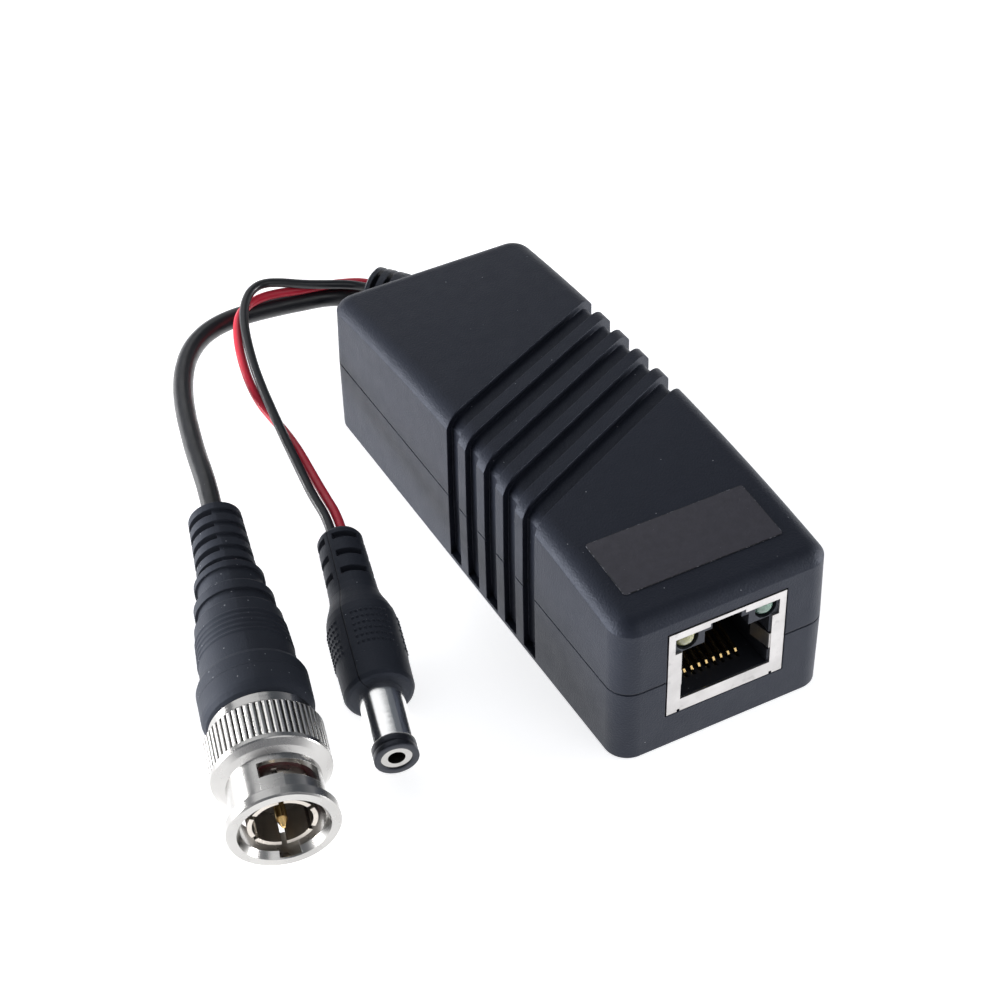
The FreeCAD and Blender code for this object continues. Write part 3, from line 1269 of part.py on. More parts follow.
doc.recompute()
for item in doc.Objects:
    if "Invalid" in item.State or "Error" in item.State:
        raise RuntimeError("%s failed: %s" % (item.Name, item.State))
for node, item in pieces.items():
    if item.Shape.isNull() or not item.Shape.isValid() or not item.Shape.Solids:
        raise RuntimeError(node + " has no valid shape")
os.makedirs("parts", exist_ok=True)
for node, item in pieces.items():
    item.Shape.exportStep("parts/%s.step" % node)
print(len(pieces), "nodes written")
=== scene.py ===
import math

import bmesh
import bpy
from mathutils import Euler, Matrix, Vector


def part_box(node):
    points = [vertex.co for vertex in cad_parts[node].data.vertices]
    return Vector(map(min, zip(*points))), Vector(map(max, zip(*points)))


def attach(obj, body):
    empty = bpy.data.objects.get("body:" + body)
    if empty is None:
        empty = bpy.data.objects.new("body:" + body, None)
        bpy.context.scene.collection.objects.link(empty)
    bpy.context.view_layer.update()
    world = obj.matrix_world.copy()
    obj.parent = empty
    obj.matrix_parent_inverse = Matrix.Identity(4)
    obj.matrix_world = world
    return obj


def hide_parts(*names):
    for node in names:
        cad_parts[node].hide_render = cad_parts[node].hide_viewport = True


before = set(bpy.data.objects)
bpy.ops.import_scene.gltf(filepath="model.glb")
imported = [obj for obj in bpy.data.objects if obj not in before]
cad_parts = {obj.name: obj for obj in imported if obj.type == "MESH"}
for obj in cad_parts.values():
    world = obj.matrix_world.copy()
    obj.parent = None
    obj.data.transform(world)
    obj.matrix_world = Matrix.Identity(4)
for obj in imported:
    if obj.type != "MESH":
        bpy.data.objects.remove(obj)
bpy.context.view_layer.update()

MM = 0.001

# Housing: the joint between its shells, and the sticker's middle and half size on its crown
SEAM_HEIGHT = 0.01083
STICKER_CENTRE = Vector((-0.0002, -0.0280))
STICKER_HALF = Vector((0.0108, 0.0045))

# Plugs: how far they lean, and for each the middle of its front and its heading, in degrees
PLUG_TILT = 6.0
BAYONET = (Vector((-0.05502, -0.03295, 0.006594)), -15.24)
POWER = (Vector((-0.0379, -0.0267, 0.003433)), -15.33)
POWER_GRIP_RADIUS = 4.42 * MM

# Knurl of the coupling sleeve, measured back from the plug's front and out from its axis
KNURL_TEETH = 60
KNURL_FRONT, KNURL_REAR = 8.4 * MM, 13.1 * MM
KNURL_FOOT = 6.7 * MM

# Cords
COAX_DIAMETER = 0.00265
WIRE_DIAMETER = 0.00125


def plug_turn(heading):
    """Turn of a plug's frame: X runs forward along the plug, and Z is its top."""
    return Euler((0, math.radians(PLUG_TILT), math.radians(heading - 90)))


def plug_matrix(front, heading):
    """Place and turn of a plug's frame."""
    return Matrix.Translation(front) @ plug_turn(heading).to_matrix().to_4x4()


# Camera: where the photograph was taken from; the origin lies under the housing's middle

CAMERA_PLACE = (-0.12379, -0.21454, 0.22243)
CAMERA_TURN = (48.963, 0.810, -28.756)
FOCAL_LENGTH, SENSOR_WIDTH = 92.71, 36.0


def add_camera():
    lens = bpy.data.cameras.new("photo_camera")
    lens.lens = FOCAL_LENGTH
    lens.sensor_width = SENSOR_WIDTH
    lens.clip_start, lens.clip_end = 0.01, 20.0
    camera = bpy.data.objects.new("photo_camera", lens)
    camera.location = CAMERA_PLACE
    camera.rotation_euler = Euler([math.radians(angle) for angle in CAMERA_TURN])
    bpy.context.scene.collection.objects.link(camera)
    bpy.context.scene.camera = camera


add_camera()


# Cords: each route runs from the moulded relief to the rear end of its plug

COAX_ROUTE = [
    (-0.004361, 0.046343, 0.009930), (-0.005900, 0.048313, 0.009930),
    (-0.0089, 0.0500, 0.0102), (-0.0131, 0.0506, 0.0104), (-0.0178, 0.0509, 0.0108),
    (-0.0225, 0.0508, 0.0112), (-0.0262, 0.0499, 0.0115), (-0.0292, 0.0482, 0.0117),
    (-0.0317, 0.0458, 0.0118), (-0.0338, 0.0427, 0.0119), (-0.0355, 0.0392, 0.0119),
    (-0.0370, 0.0351, 0.0119), (-0.0382, 0.0308, 0.0120), (-0.0393, 0.0265, 0.0120),
    (-0.0402, 0.0223, 0.0123), (-0.041034, 0.018386, 0.012187), (-0.042341, 0.013588, 0.011664),
]
BLACK_ROUTE = [
    (-0.004597, 0.046159, 0.012430), (-0.005582, 0.047420, 0.012430),
    (-0.0076, 0.0482, 0.0129), (-0.0102, 0.0490, 0.0133), (-0.0128, 0.0499, 0.0137),
    (-0.0153, 0.0512, 0.0141), (-0.0177, 0.0520, 0.0144), (-0.0198, 0.0513, 0.0145),
    (-0.0215, 0.0495, 0.0145), (-0.0229, 0.0472, 0.0143), (-0.0240, 0.0445, 0.0139),
    (-0.0249, 0.0414, 0.0133), (-0.0257, 0.0380, 0.0125), (-0.0263, 0.0342, 0.0116),
    (-0.0268, 0.0298, 0.0106), (-0.0273, 0.0250, 0.0096), (-0.0278, 0.0201, 0.0088),
    (-0.0283, 0.0154, 0.0081), (-0.028328, 0.010791, 0.007499), (-0.029275, 0.007338, 0.007123),
]
RED_ROUTE = [
    (-0.003336, 0.047144, 0.011930), (-0.004321, 0.048405, 0.011930),
    (-0.0068, 0.0494, 0.0121), (-0.0100, 0.0502, 0.01225), (-0.0132, 0.0504, 0.0125),
    (-0.0162, 0.0508, 0.0129), (-0.0190, 0.0508, 0.0131), (-0.0215, 0.0499, 0.0131),
    (-0.0233, 0.0482, 0.0131), (-0.0246, 0.0457, 0.0131), (-0.0258, 0.0426, 0.0127),
    (-0.0266, 0.0395, 0.0120), (-0.0271, 0.0365, 0.0111), (-0.0271, 0.0335, 0.0100),
    (-0.0266, 0.0305, 0.0092), (-0.0262, 0.0272, 0.0088), (-0.0262, 0.0235, 0.0085),
    (-0.0265, 0.0194, 0.0081), (-0.0268, 0.0150, 0.0078), (-0.027016, 0.010431, 0.007499),
    (-0.027963, 0.006978, 0.007123),
]


def add_lead(name, route, diameter, node):
    """Free lead as a smooth round tube along its route."""
    curve = bpy.data.curves.new(name, "CURVE")
    curve.dimensions = "3D"
    # The tube takes its radius from the points, so the bevel itself is one metre.
    curve.bevel_depth = 1.0
    curve.bevel_resolution = 6
    curve.resolution_u = 10
    curve.use_fill_caps = True
    spline = curve.splines.new("NURBS")
    spline.points.add(len(route) - 1)
    for point, place in zip(spline.points, route):
        point.co = (*place, 1)
        point.radius = diameter / 2
    spline.order_u = 3
    spline.use_endpoint_u = True
    lead = bpy.data.objects.new(name, curve)
    bpy.context.scene.collection.objects.link(lead)
    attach(lead, "balun")
    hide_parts(node)
    return lead


video_lead = add_lead("video_lead", COAX_ROUTE, COAX_DIAMETER, "coax_cable")
black_lead = add_lead("black_power_lead", BLACK_ROUTE, WIRE_DIAMETER, "dc_wire_black")
red_lead = add_lead("red_power_lead", RED_ROUTE, WIRE_DIAMETER, "dc_wire_red")


# Finishes


class Finish:
    """One material: the plain values of its shader and the patterns that feed it."""

    def __init__(self, name, colour, roughness, metallic=0.0, **plain):
        self.material = bpy.data.materials.new(name)
        self.material.use_nodes = True
        self.tree = self.material.node_tree
        self.shader = self.tree.nodes["Principled BSDF"]
        self.normal = None
        self.shader.inputs["Base Color"].default_value = (*colour, 1)
        self.shader.inputs["Roughness"].default_value = roughness
        self.shader.inputs["Metallic"].default_value = metallic
        for socket, value in plain.items():
            self.shader.inputs[socket.replace("_", " ")].default_value = value
        self.place = self.add("ShaderNodeTexCoord").outputs["Object"]

    def add(self, kind, sockets=None, **settings):
        """Node whose sockets take either a value or another node's output."""
        node = self.tree.nodes.new(kind)
        for name, value in settings.items():
            setattr(node, name, value)
        for name, value in (sockets or {}).items():
            if isinstance(value, bpy.types.NodeSocket):
                self.tree.links.new(value, node.inputs[name])
            else:
                node.inputs[name].default_value = value
        return node

    def feed(self, socket, output):
        """Let a pattern drive one socket of the shader."""
        self.tree.links.new(output, self.shader.inputs[socket])

    def cover(self, factor, colour):
        """Lay a colour over the pattern that feeds the base colour so far."""
        before = self.shader.inputs["Base Color"].links[0].from_socket
        self.feed("Base Color", self.mix(factor, before, colour))

    def uneven(self, low, high, scale, detail=2.0):
        """Roughness that wanders between two values."""
        self.feed("Roughness", self.span(self.noise(scale, detail), 0.3, 0.7, low, high))

    def along_plug(self, front, heading):
        """Measure every pattern in a plug's own frame from here on."""
        self.place = self.add(
            "ShaderNodeMapping", {"Vector": self.place, "Location": front,
                                  "Rotation": plug_turn(heading)},
            vector_type="TEXTURE").outputs["Vector"]

    def stretched(self, along, across, up):
        """The place with each direction scaled by its own number."""
        return self.add("ShaderNodeMapping", {"Vector": self.place, "Scale": (along, across, up)},
                        vector_type="POINT").outputs["Vector"]

    def axes(self):
        """X, Y and Z of the place."""
        return self.add("ShaderNodeSeparateXYZ", {"Vector": self.place}).outputs

    def noise(self, scale, detail=2.0, place=None):
        return self.add("ShaderNodeTexNoise", {"Vector": place or self.place, "Scale": scale,
                                               "Detail": detail}).outputs["Fac"]

    def math(self, operation, first, second=0.0):
        return self.add("ShaderNodeMath", {0: first, 1: second}, operation=operation).outputs[0]

    def span(self, value, low, high, start=0.0, end=1.0):
        """Value carried from low..high to start..end and held there."""
        return self.add("ShaderNodeMapRange", {
            "Value": value, "From Min": low, "From Max": high, "To Min": start, "To Max": end,
        }).outputs["Result"]

    def distance(self, value, middle):
        """How far the value is from a middle, on either side."""
        return self.math("ABSOLUTE", self.math("SUBTRACT", value, middle))

    def band(self, value, middle, half_width):
        """One inside a narrow band of the value, with soft edges, and zero outside."""
        return self.span(self.distance(value, middle), half_width, 0.6 * half_width)

    def mix(self, factor, first, second):
        """Colour between two, each an output or a plain colour."""
        def colour(value):
            return value if isinstance(value, bpy.types.NodeSocket) else (*value, 1)
        return self.add("ShaderNodeMix", {0: factor, 6: colour(first), 7: colour(second)},
                        data_type="RGBA").outputs[2]

    def specks(self, spacing, size, share, seed=0.0):
        """Round specks, scattered a spacing apart over a share of the places."""
        shifted = self.add("ShaderNodeVectorMath", {0: self.place, 1: (seed, seed, seed)},
                           operation="ADD").outputs[0]
        cells = self.add("ShaderNodeTexVoronoi", {"Vector": shifted, "Scale": 1 / spacing})
        radius = size / spacing / 2
        dot = self.span(cells.outputs["Distance"], radius, 0.5 * radius)
        chance = self.add("ShaderNodeSeparateColor", {"Color": cells.outputs["Color"]}).outputs[0]
        return self.math("MULTIPLY", dot, self.math("LESS_THAN", chance, share))

    def bump(self, height, distance):
        """Raise the surface by a height pattern, times a distance in metres."""
        sockets = {"Height": height, "Distance": distance, "Strength": 1.0}
        if self.normal:
            sockets["Normal"] = self.normal
        self.normal = self.add("ShaderNodeBump", sockets).outputs["Normal"]
        self.feed("Normal", self.normal)

    def rounded(self, radius):
        """Soften the look of sharp edges over a small radius."""
        self.normal = self.add("ShaderNodeBevel", {"Radius": radius}, samples=6).outputs["Normal"]
        self.feed("Normal", self.normal)


def scaled(colour, factor):
    """Lighter or darker shade of a colour."""
    return tuple(min(1.0, part * factor) for part in colour)


RUBBER = (0.030, 0.0335, 0.043)
PLASTIC_TINT = (0.74, 0.81, 1.0, 1.0)
DUST = (0.24, 0.25, 0.27)
NICKEL = (0.45, 0.442, 0.43)
# Lighter nickel for the knurled band of the same sleeve: a painted highlight.
KNURL_PAINTED_HIGHLIGHT = (0.74, 0.725, 0.705)
LATHE_MARKS = (2600, 60, 60)
LATHE_DEPTH = 0.000004
NICKEL_EDGE = 0.00006


def moulded(name, colour, roughness, grain, dust, edge=0.00012, plug=None, **plain):
    """Moulded plastic or rubber: slow shade changes, a fine grain, dust and faint rub marks."""
    plain.setdefault("IOR", 1.5)
    finish = Finish(name, colour, roughness, **plain)
    finish.shader.inputs["Specular Tint"].default_value = PLASTIC_TINT
    finish.rounded(edge)
    if plug:
        finish.along_plug(*plug)
    shade = finish.mix(finish.noise(140, 3), scaled(colour, 0.88), scaled(colour, 1.12))
    rubs = finish.span(finish.noise(260, 4, finish.stretched(1.0, 0.16, 0.5)), 0.68, 0.8, 0.0, 0.2)
    shade = finish.mix(rubs, shade, scaled(colour, 1.6))
    lint = finish.specks(spacing=0.0009, size=0.0002, share=dust)
    crumbs = finish.specks(spacing=0.0020, size=0.0003, share=0.5 * dust, seed=0.7)
    finish.feed("Base Color", finish.mix(finish.math("MAXIMUM", lint, crumbs), shade, DUST))
    finish.uneven(0.95 * roughness, 1.05 * roughness, 420, 3)
    finish.bump(finish.noise(4200, 2), grain)
    return finish


def housing_plastic():
    """Charcoal shells: the joint shows as a dark line, also inside the grooves."""
    finish = moulded("charcoal_housing_plastic", (0.0078, 0.0095, 0.0160), 0.54, 0.00006, 0.08,
                     edge=0.0002, IOR=1.43)
    half_line = 0.00012
    joint = finish.band(finish.axes()["Z"], SEAM_HEIGHT - half_line / 2, half_line)
    finish.cover(joint, (0.001, 0.001, 0.0012))
    return finish.material


def sticker_film():
    """Bare dark film whose cut edges are rough and pale in places."""
    colour = (0.033, 0.031, 0.042)
    dull, torn_film, speck = (0.012, 0.012, 0.015), (0.13, 0.135, 0.155), (0.10, 0.10, 0.12)
    rim_width = 0.0001
    finish = Finish("bare_sticker_film", colour, 0.42)
    x, y, _ = finish.axes()
    across, along = finish.distance(x, STICKER_CENTRE.x), finish.distance(y, STICKER_CENTRE.y)
    side = finish.span(across, STICKER_HALF.x - rim_width, STICKER_HALF.x - 0.4 * rim_width)
    end = finish.span(along, STICKER_HALF.y - rim_width, STICKER_HALF.y - 0.4 * rim_width)
    rim = finish.math("MAXIMUM", side, end)
    shade = finish.mix(finish.noise(900, 4), scaled(colour, 0.75), scaled(colour, 1.3))
    shade = finish.mix(finish.specks(spacing=0.0009, size=0.00012, share=0.2), shade, speck)
    edged = finish.mix(finish.span(finish.noise(2700, 5), 0.52, 0.66), dull, torn_film)
    finish.feed("Base Color", finish.mix(rim, shade, edged))
    finish.uneven(0.36, 0.5, 700)
    finish.bump(finish.noise(2600, 3), 0.00003)
    return finish.material


def metal(name, colour, roughness, wear, grain_place=(900, 900, 900), grain=0.000006,
          edge=0.00008, plug=None):
    """Plated metal: fine marks left by its making, cloudy spots and a few darker stains."""
    finish = Finish(name, colour, roughness, 1.0)
    finish.rounded(edge)
    if plug:
        finish.along_plug(*plug)
    clouds = finish.noise(240, 4)
    shade = finish.mix(finish.span(clouds, 0.35, 0.7), colour, scaled(colour, 1 - 0.5 * wear))
    stains = finish.math("MULTIPLY", finish.span(finish.noise(800, 5), 0.6, 0.72), wear)
    finish.feed("Base Color", finish.mix(stains, shade, scaled(colour, 0.45)))
    finish.feed("Roughness", finish.span(clouds, 0.3, 0.75, 0.75 * roughness, 1.35 * roughness))
    finish.bump(finish.noise(1.0, 3, finish.stretched(*grain_place)), grain)
    return finish.material


def turned_nickel(name, plug, roughness=0.26, colour=NICKEL, wear=0.16):
    """Nickel plate over turned brass, with rings left by the lathe."""
    return metal(name, colour, roughness, wear, LATHE_MARKS, LATHE_DEPTH, NICKEL_EDGE, plug)


def knurled_nickel():
    """Coupling sleeve: each tooth of its knurl is rounded between two valleys; the valleys are
    darkened as painted shade, and the knurled band is painted lighter than the rest of the sleeve
    as a painted highlight.
    """
    finish = Finish("bayonet_nickel", NICKEL, 0.26, 1.0)
    finish.rounded(NICKEL_EDGE)
    finish.along_plug(*BAYONET)
    x, y, z = finish.axes()
    turns = finish.math("MULTIPLY", finish.math("ARCTAN2", y, z), KNURL_TEETH)
    # The minus sign puts a valley, not a tooth, on the plug's top.
    teeth = finish.math("MULTIPLY", finish.math("COSINE", turns), -1.0)
    from_middle = finish.distance(x, -0.5 * (KNURL_FRONT + KNURL_REAR))
    off_axis = finish.math("SQRT", finish.math("ADD", finish.math("MULTIPLY", y, y),
                                               finish.math("MULTIPLY", z, z)))
    knurled = finish.math(
        "MULTIPLY", finish.math("LESS_THAN", from_middle, 0.5 * (KNURL_REAR - KNURL_FRONT)),
        finish.math("GREATER_THAN", off_axis, KNURL_FOOT))
    # Painted shade: the knurl's valleys are darkened in colour.
    valley_painted_shade = finish.math("MULTIPLY", knurled, finish.span(teeth, 0.1, -0.9))
    clouds = finish.noise(240, 4)
    smooth = finish.mix(finish.span(clouds, 0.35, 0.7), NICKEL, scaled(NICKEL, 0.92))
    # Painted highlight: the knurled band takes a lighter nickel than the rest of the same sleeve.
    shade = finish.mix(knurled, smooth, KNURL_PAINTED_HIGHLIGHT)
    finish.feed("Base Color", finish.mix(finish.math("MULTIPLY", valley_painted_shade, 0.8), shade,
                                         scaled(NICKEL, 0.5)))
    finish.feed("Roughness", finish.span(clouds, 0.3, 0.75, 0.2, 0.34))
    finish.bump(finish.noise(1.0, 3, finish.stretched(*LATHE_MARKS)), LATHE_DEPTH)
    finish.bump(finish.math("MULTIPLY", knurled, teeth), 0.00006)
    return finish.material


def lamp_lens(name, colour, deep):
    """Cloudy tinted lamp with a brighter core."""
    finish = Finish(name, colour, 0.16, Subsurface_Weight=1.0, Subsurface_Scale=0.003,
                    Coat_Weight=0.5)
    finish.shader.inputs["Subsurface Radius"].default_value = (1.0, 1.0, 1.0)
    core = finish.span(finish.noise(420, 2), 0.35, 0.65)
    finish.feed("Base Color", finish.mix(core, deep, colour))
    finish.uneven(0.12, 0.24, 900)
    return finish.material


def jacket(name, colour, sheen_colour):
    """Extruded jacket: smooth, with slow waves and a little dust."""
    roughness, dust = 0.36, (0.2, 0.2, 0.22)
    finish = Finish(name, colour, roughness)
    shade = finish.mix(finish.noise(300, 3), scaled(colour, 0.8), sheen_colour)
    specks = finish.specks(spacing=0.0016, size=0.00014, share=0.16)
    finish.feed("Base Color", finish.mix(specks, shade, dust))
    finish.uneven(0.8 * roughness, 1.25 * roughness, 500, 3)
    finish.bump(finish.noise(900, 3), 0.00002)
    return finish.material


def plain_body(name, colour, roughness, mottle, metallic=0.0):
    """Fired, dipped or drawn body with a mottled colour."""
    finish = Finish(name, colour, roughness, metallic)
    finish.feed("Base Color", finish.mix(finish.noise(1100, 4), scaled(colour, 1 - mottle),
                                         scaled(colour, 1 + mottle)))
    finish.uneven(0.85 * roughness, 1.15 * roughness, 900)
    finish.bump(finish.noise(2600, 3), 0.00002)
    return finish.material


def board_mask():
    """Solder mask with copper tracks showing through as lighter lines."""
    mask, lighter, track, pad = ((0.01, 0.11, 0.035), (0.012, 0.13, 0.04), (0.03, 0.24, 0.08),
                                 (0.62, 0.6, 0.55))
    finish = Finish("green_solder_mask", mask, 0.3)
    tracks = finish.add("ShaderNodeTexBrick", {
        "Vector": finish.place, "Color1": (*mask, 1), "Color2": (*lighter, 1),
        "Mortar": (*track, 1), "Scale": 260.0, "Mortar Size": 0.03,
    }).outputs["Color"]
    pads = finish.specks(spacing=0.0026, size=0.0011, share=0.5)
    finish.feed("Base Color", finish.mix(pads, tracks, pad))
    finish.uneven(0.24, 0.38, 700)
    finish.bump(finish.noise(600, 3), 0.00003)
    return finish.material


def turned_winding():
    """Enamelled copper wire laid in turns round the ring, darker in the hollows between turns as
    painted shade and lighter on their crests as a painted highlight.
    """
    colour = (0.42, 0.13, 0.03)
    finish = Finish("enamelled_wire", colour, 0.28, 0.7)
    turn_relief_and_shade = finish.add("ShaderNodeTexWave", {"Vector": finish.place, "Scale": 620.0,
                                             "Distortion": 1.0, "Detail": 1.0},
                       bands_direction="X").outputs["Fac"]
    # Painted shade between the turns and painted highlight on their crests, following their
    # relief.
    finish.feed("Base Color", finish.mix(turn_relief_and_shade, scaled(colour, 0.35), scaled(colour, 1.3)))
    finish.bump(turn_relief_and_shade, 0.00012)
    return finish.material


def boot_rubber():
    """Bayonet boot: fine ring left by the mould across its band."""
    ring_station, ring_half_width = -19.3 * MM, 0.12 * MM
    finish = moulded("boot_rubber", RUBBER, 0.6, 0.00004, 0.42, plug=BAYONET, IOR=1.28)
    ring = finish.band(finish.axes()["X"], ring_station, ring_half_width)
    finish.bump(ring, 0.00006)
    return finish.material


def grip_rubber():
    """Power plug grip: a parting line of the mould along both sides."""
    line_angle, half_line = 34, math.radians(1.6)
    finish = moulded("power_grip_rubber", RUBBER, 0.55, 0.00004, 0.2, plug=POWER, IOR=1.34)
    _, y, z = finish.axes()
    around = finish.math("ARCTAN2", y, z)
    near_line = finish.band(around, math.radians(-line_angle), half_line)
    far_line = finish.band(around, math.radians(180 - line_angle), half_line)
    both = finish.math("MAXIMUM", near_line, far_line)
    finish.cover(finish.math("MULTIPLY", both, 0.8), (0.002, 0.002, 0.003))
    finish.bump(finish.math("SUBTRACT", 1.0, both), 0.00008)
    return finish.material


housing = housing_plastic()
gold = metal("gold_plate", (0.74, 0.52, 0.23), 0.2, 0.15)
black_jacket = jacket("black_cable_jacket", (0.011, 0.012, 0.015), (0.016, 0.017, 0.021))
red_jacket = jacket("red_cable_jacket", (0.70, 0.022, 0.052), (0.80, 0.03, 0.066))
NODE_FINISHES = {
    "upper_shell": housing,
    "lower_shell": housing,
    "label_sticker": sticker_film(),
    "jack_shield": metal("jack_tin_plate", (0.55, 0.535, 0.53), 0.38, 0.4, (60, 900, 1400),
                         0.000008),
    "jack_insert": moulded("jack_insert_plastic", (0.011, 0.0115, 0.014), 0.5, 0.00002,
                           0.1).material,
    "lamp_left": lamp_lens("amber_lamp_lens", (0.46, 0.46, 0.29), (0.30, 0.28, 0.10)),
    "lamp_right": lamp_lens("green_lamp_lens", (0.28, 0.40, 0.33), (0.09, 0.21, 0.15)),
    "circuit_board": board_mask(),
    "transformer_core": plain_body("sintered_ferrite", (0.04, 0.04, 0.043), 0.6, 0.3),
    "transformer_winding": turned_winding(),
    "electrolytic_capacitor": plain_body("capacitor_sleeve", (0.012, 0.014, 0.04), 0.3, 0.15),
    "drum_inductor": plain_body("drum_ferrite", (0.05, 0.05, 0.052), 0.55, 0.3),
    "surge_arrester": plain_body("arrester_ceramic", (0.62, 0.60, 0.58), 0.35, 0.12),
    "resettable_fuse": plain_body("fuse_dip_coat", (0.62, 0.40, 0.05), 0.4, 0.15),
    "cable_grommet": moulded("relief_rubber", scaled(RUBBER, 0.35), 0.45, 0.00004, 0.15).material,
    "coax_inner_end": plain_body("cable_core_plastic", (0.70, 0.70, 0.68), 0.4, 0.08),
    "dc_inner_end_black": black_jacket,
    "dc_inner_end_red": red_jacket,
    "bnc_coupling_sleeve": knurled_nickel(),
    "bnc_plug_body": turned_nickel("bayonet_body_nickel", BAYONET, 0.2),
    "bnc_snap_ring": plain_body("spring_ring_steel", (0.5, 0.5, 0.5), 0.25, 0.1, 1.0),
    "bnc_spring_washer": plain_body("washer_spring_steel", (0.55, 0.54, 0.52), 0.22, 0.1, 1.0),
    "bnc_gasket": plain_body("red_gasket_rubber", (0.06, 0.006, 0.008), 0.5, 0.2),
    "bnc_contact_sleeve": turned_nickel("outer_contact_nickel", BAYONET, 0.3,
                                        (0.55, 0.51, 0.46), 0.3),
    # Painted shade: the insulator deep inside the contact sleeve takes a dark grey-brown colour
    # for the shade it lies in.
    "bnc_dielectric": plain_body("insulator_painted_shade", (0.055, 0.048, 0.042), 0.45, 0.2),
    "bnc_centre_pin": gold,
    "bnc_boot": boot_rubber(),
    "dc_plug_body": grip_rubber(),
    "dc_barrel": turned_nickel("power_barrel_nickel", POWER, 0.2, (0.90, 0.895, 0.885), 0.1),
    "dc_tip_insulator": moulded("black_tip_plastic", (0.008, 0.008, 0.01), 0.4, 0.00002, 0.1,
                                edge=0.00045).material,
    "dc_inner_contact": turned_nickel("power_contact_nickel", POWER, 0.16),
}
for index in range(1, 9):
    NODE_FINISHES["jack_contact_%d" % index] = gold
for node, finish in NODE_FINISHES.items():
    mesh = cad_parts[node].data
    mesh.materials.clear()
    mesh.materials.append(finish)
for lead, finish in ((video_lead, black_jacket), (black_lead, black_jacket),
                     (red_lead, red_jacket)):
    lead.data.materials.append(finish)


# Small moulded details


def new_piece(name, mesh, finish, body):
    """Object of a bmesh, riding on a body."""
    data = bpy.data.meshes.new(name)
    mesh.to_mesh(data)
    mesh.free()
    data.materials.append(finish)
    piece = bpy.data.objects.new(name, data)
    bpy.context.scene.collection.objects.link(piece)
    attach(piece, body)
    return piece


def add_grip_dots():
    """Four patches of raised dots round the power plug's grip."""
    radius, rise = 0.23 * MM, 0.16 * MM
    rows, columns = 6, 8
    row_pitch, column_pitch = 0.96 * MM, math.radians(8.0)
    first_row, patch_turn = -14.9 * MM, math.radians(-9.0)
    mesh = bmesh.new()
    for patch in range(4):
        for column in range(columns):
            angle = patch_turn + patch * math.pi / 2 + (column - (columns - 1) / 2) * column_pitch
            for row in range(rows):
                place = (Matrix.Rotation(angle, 4, "X")
                         @ Matrix.Translation((first_row - row * row_pitch, 0, POWER_GRIP_RADIUS))
                         @ Matrix.Diagonal((1, 1, rise / radius, 1)))
                bmesh.ops.create_uvsphere(mesh, u_segments=8, v_segments=4, radius=radius,
                                          matrix=place)
    bmesh.ops.transform(mesh, matrix=plug_matrix(*POWER), verts=mesh.verts)
    bmesh.ops.recalc_face_normals(mesh, faces=mesh.faces)
    for face in mesh.faces:
        face.smooth = True
    new_piece("power_grip_dots", mesh, NODE_FINISHES["dc_plug_body"], "balun")


def add_lamp_lens(node):
    """Smooth copy of a lamp, with its nose drawn out to the face of the shield."""
    low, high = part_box(node)
    reach = low.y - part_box("jack_shield")[0].y
    mesh = bmesh.new()
    mesh.from_mesh(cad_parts[node].data)
    bmesh.ops.remove_doubles(mesh, verts=mesh.verts, dist=0.0001 * MM)
    nose = [vert for vert in mesh.verts if vert.co.y < (low.y + high.y) / 2]
    bmesh.ops.translate(mesh, vec=(0, -reach, 0), verts=nose)
    for face in mesh.faces:
        face.smooth = True
    lens = new_piece(node + "_lens", mesh, NODE_FINISHES[node], "balun")
    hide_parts(node)


add_grip_dots()
add_lamp_lens("lamp_left")
add_lamp_lens("lamp_right")


# Studio: a white table under soft lamps

TABLE_HALF = 3.0
TABLE_PAPER = (0.9, 0.9, 0.91, 1)
SEEN_GLOW = 0.68
MIRRORED_GLOW = 1.15
LAMP_AIM = Vector((0, 0, 0.01))
SKY_LOW = (0.45, 0.45, 0.47, 1)
SKY_HIGH = (0.10, 0.11, 0.125, 1)
SKY_FADE = 0.6
SKY_GLOW = 1.35


def scaled_output(nodes, links, output, factor):
    """Output of a node times a factor."""
    node = nodes.new("ShaderNodeMath")
    node.operation = "MULTIPLY"
    node.inputs[1].default_value = factor
    links.new(output, node.inputs[0])
    return node.outputs[0]


def add_floor():
    """White table: overexposed where it is seen or mirrored, plain paper for everything else."""
    mesh = bmesh.new()
    bmesh.ops.create_grid(mesh, x_segments=1, y_segments=1, size=TABLE_HALF)
    data = bpy.data.meshes.new("white_table")
    mesh.to_mesh(data)
    mesh.free()
    floor = bpy.data.objects.new("white_table", data)
    bpy.context.scene.collection.objects.link(floor)
    material = bpy.data.materials.new("white_table")
    material.use_nodes = True
    nodes, links = material.node_tree.nodes, material.node_tree.links
    nodes.clear()
    output = nodes.new("ShaderNodeOutputMaterial")
    paper = nodes.new("ShaderNodeBsdfDiffuse")
    paper.inputs["Color"].default_value = TABLE_PAPER
    glow = nodes.new("ShaderNodeEmission")
    rays = nodes.new("ShaderNodeLightPath")
    seen = scaled_output(nodes, links, rays.outputs["Is Camera Ray"], SEEN_GLOW)
    mirrored = scaled_output(nodes, links, rays.outputs["Is Glossy Ray"], MIRRORED_GLOW)
    level = nodes.new("ShaderNodeMath")
    links.new(seen, level.inputs[0])
    links.new(mirrored, level.inputs[1])
    links.new(level.outputs[0], glow.inputs["Strength"])
    both = nodes.new("ShaderNodeAddShader")
    links.new(paper.outputs[0], both.inputs[0])
    links.new(glow.outputs[0], both.inputs[1])
    links.new(both.outputs[0], output.inputs["Surface"])
    data.materials.append(material)


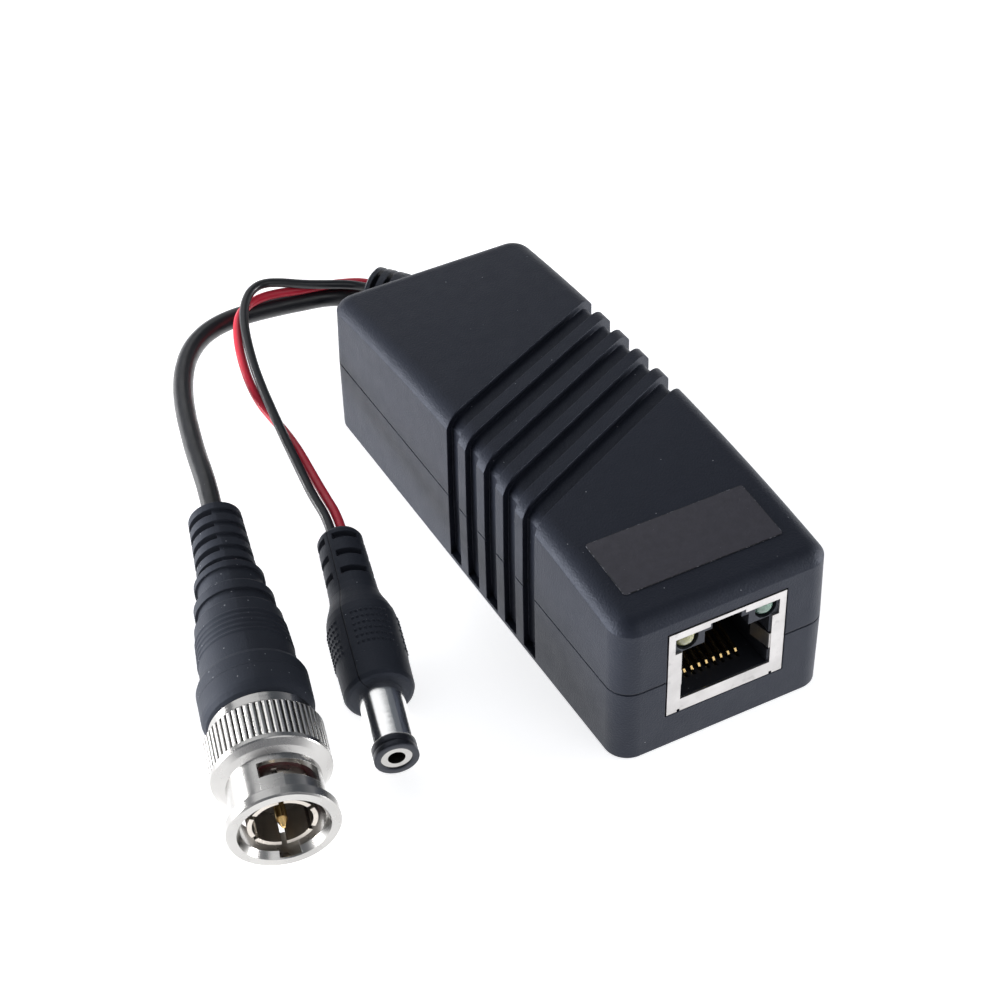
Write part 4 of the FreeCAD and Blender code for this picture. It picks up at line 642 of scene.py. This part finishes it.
def add_sky():
    """Pale room: brighter near the table than overhead, and white where the camera sees it."""
    world = bpy.data.worlds.new("pale_room")
    bpy.context.scene.world = world
    world.use_nodes = True
    nodes, links = world.node_tree.nodes, world.node_tree.links
    background = nodes["Background"]
    direction = nodes.new("ShaderNodeTexCoord").outputs["Generated"]
    up = nodes.new("ShaderNodeSeparateXYZ")
    links.new(direction, up.inputs[0])
    fade = nodes.new("ShaderNodeValToRGB")
    low, high = fade.color_ramp.elements
    low.position, low.color = 0.0, SKY_LOW
    high.position, high.color = SKY_FADE, SKY_HIGH
    links.new(up.outputs["Z"], fade.inputs["Fac"])
    white = nodes.new("ShaderNodeMixRGB")
    rays = nodes.new("ShaderNodeLightPath")
    links.new(rays.outputs["Is Camera Ray"], white.inputs["Fac"])
    links.new(fade.outputs["Color"], white.inputs["Color1"])
    white.inputs["Color2"].default_value = (1, 1, 1, 1)
    links.new(white.outputs["Color"], background.inputs["Color"])
    level = nodes.new("ShaderNodeMapRange")
    level.inputs["To Min"].default_value = SKY_GLOW
    level.inputs["To Max"].default_value = 1.0
    links.new(rays.outputs["Is Camera Ray"], level.inputs["Value"])
    links.new(level.outputs["Result"], background.inputs["Strength"])


def add_lamp(name, place, size, power):
    """Soft rectangular lamp, turned towards the housing."""
    light = bpy.data.lights.new(name, "AREA")
    light.shape = "RECTANGLE"
    light.size, light.size_y = size
    light.energy = power
    lamp = bpy.data.objects.new(name, light)
    lamp.location = place
    lamp.rotation_euler = (LAMP_AIM - Vector(place)).to_track_quat("-Z", "Y").to_euler()
    bpy.context.scene.collection.objects.link(lamp)


add_floor()
add_sky()
add_lamp("left_softbox", (-0.78, 0.3, 0.11), (0.9, 0.22), 14.0)
add_lamp("front_softbox", (0.15, -0.75, 0.8), (0.9, 0.5), 1.8)
add_lamp("rear_panel", (-0.05, 0.85, 0.88), (1.3, 0.7), 3.1)
add_lamp("right_softbox", (0.8, -0.3, 0.1), (0.5, 0.2), 6.0)
bpy.context.scene.view_settings.view_transform = "Standard"

bpy.context.view_layer.update()
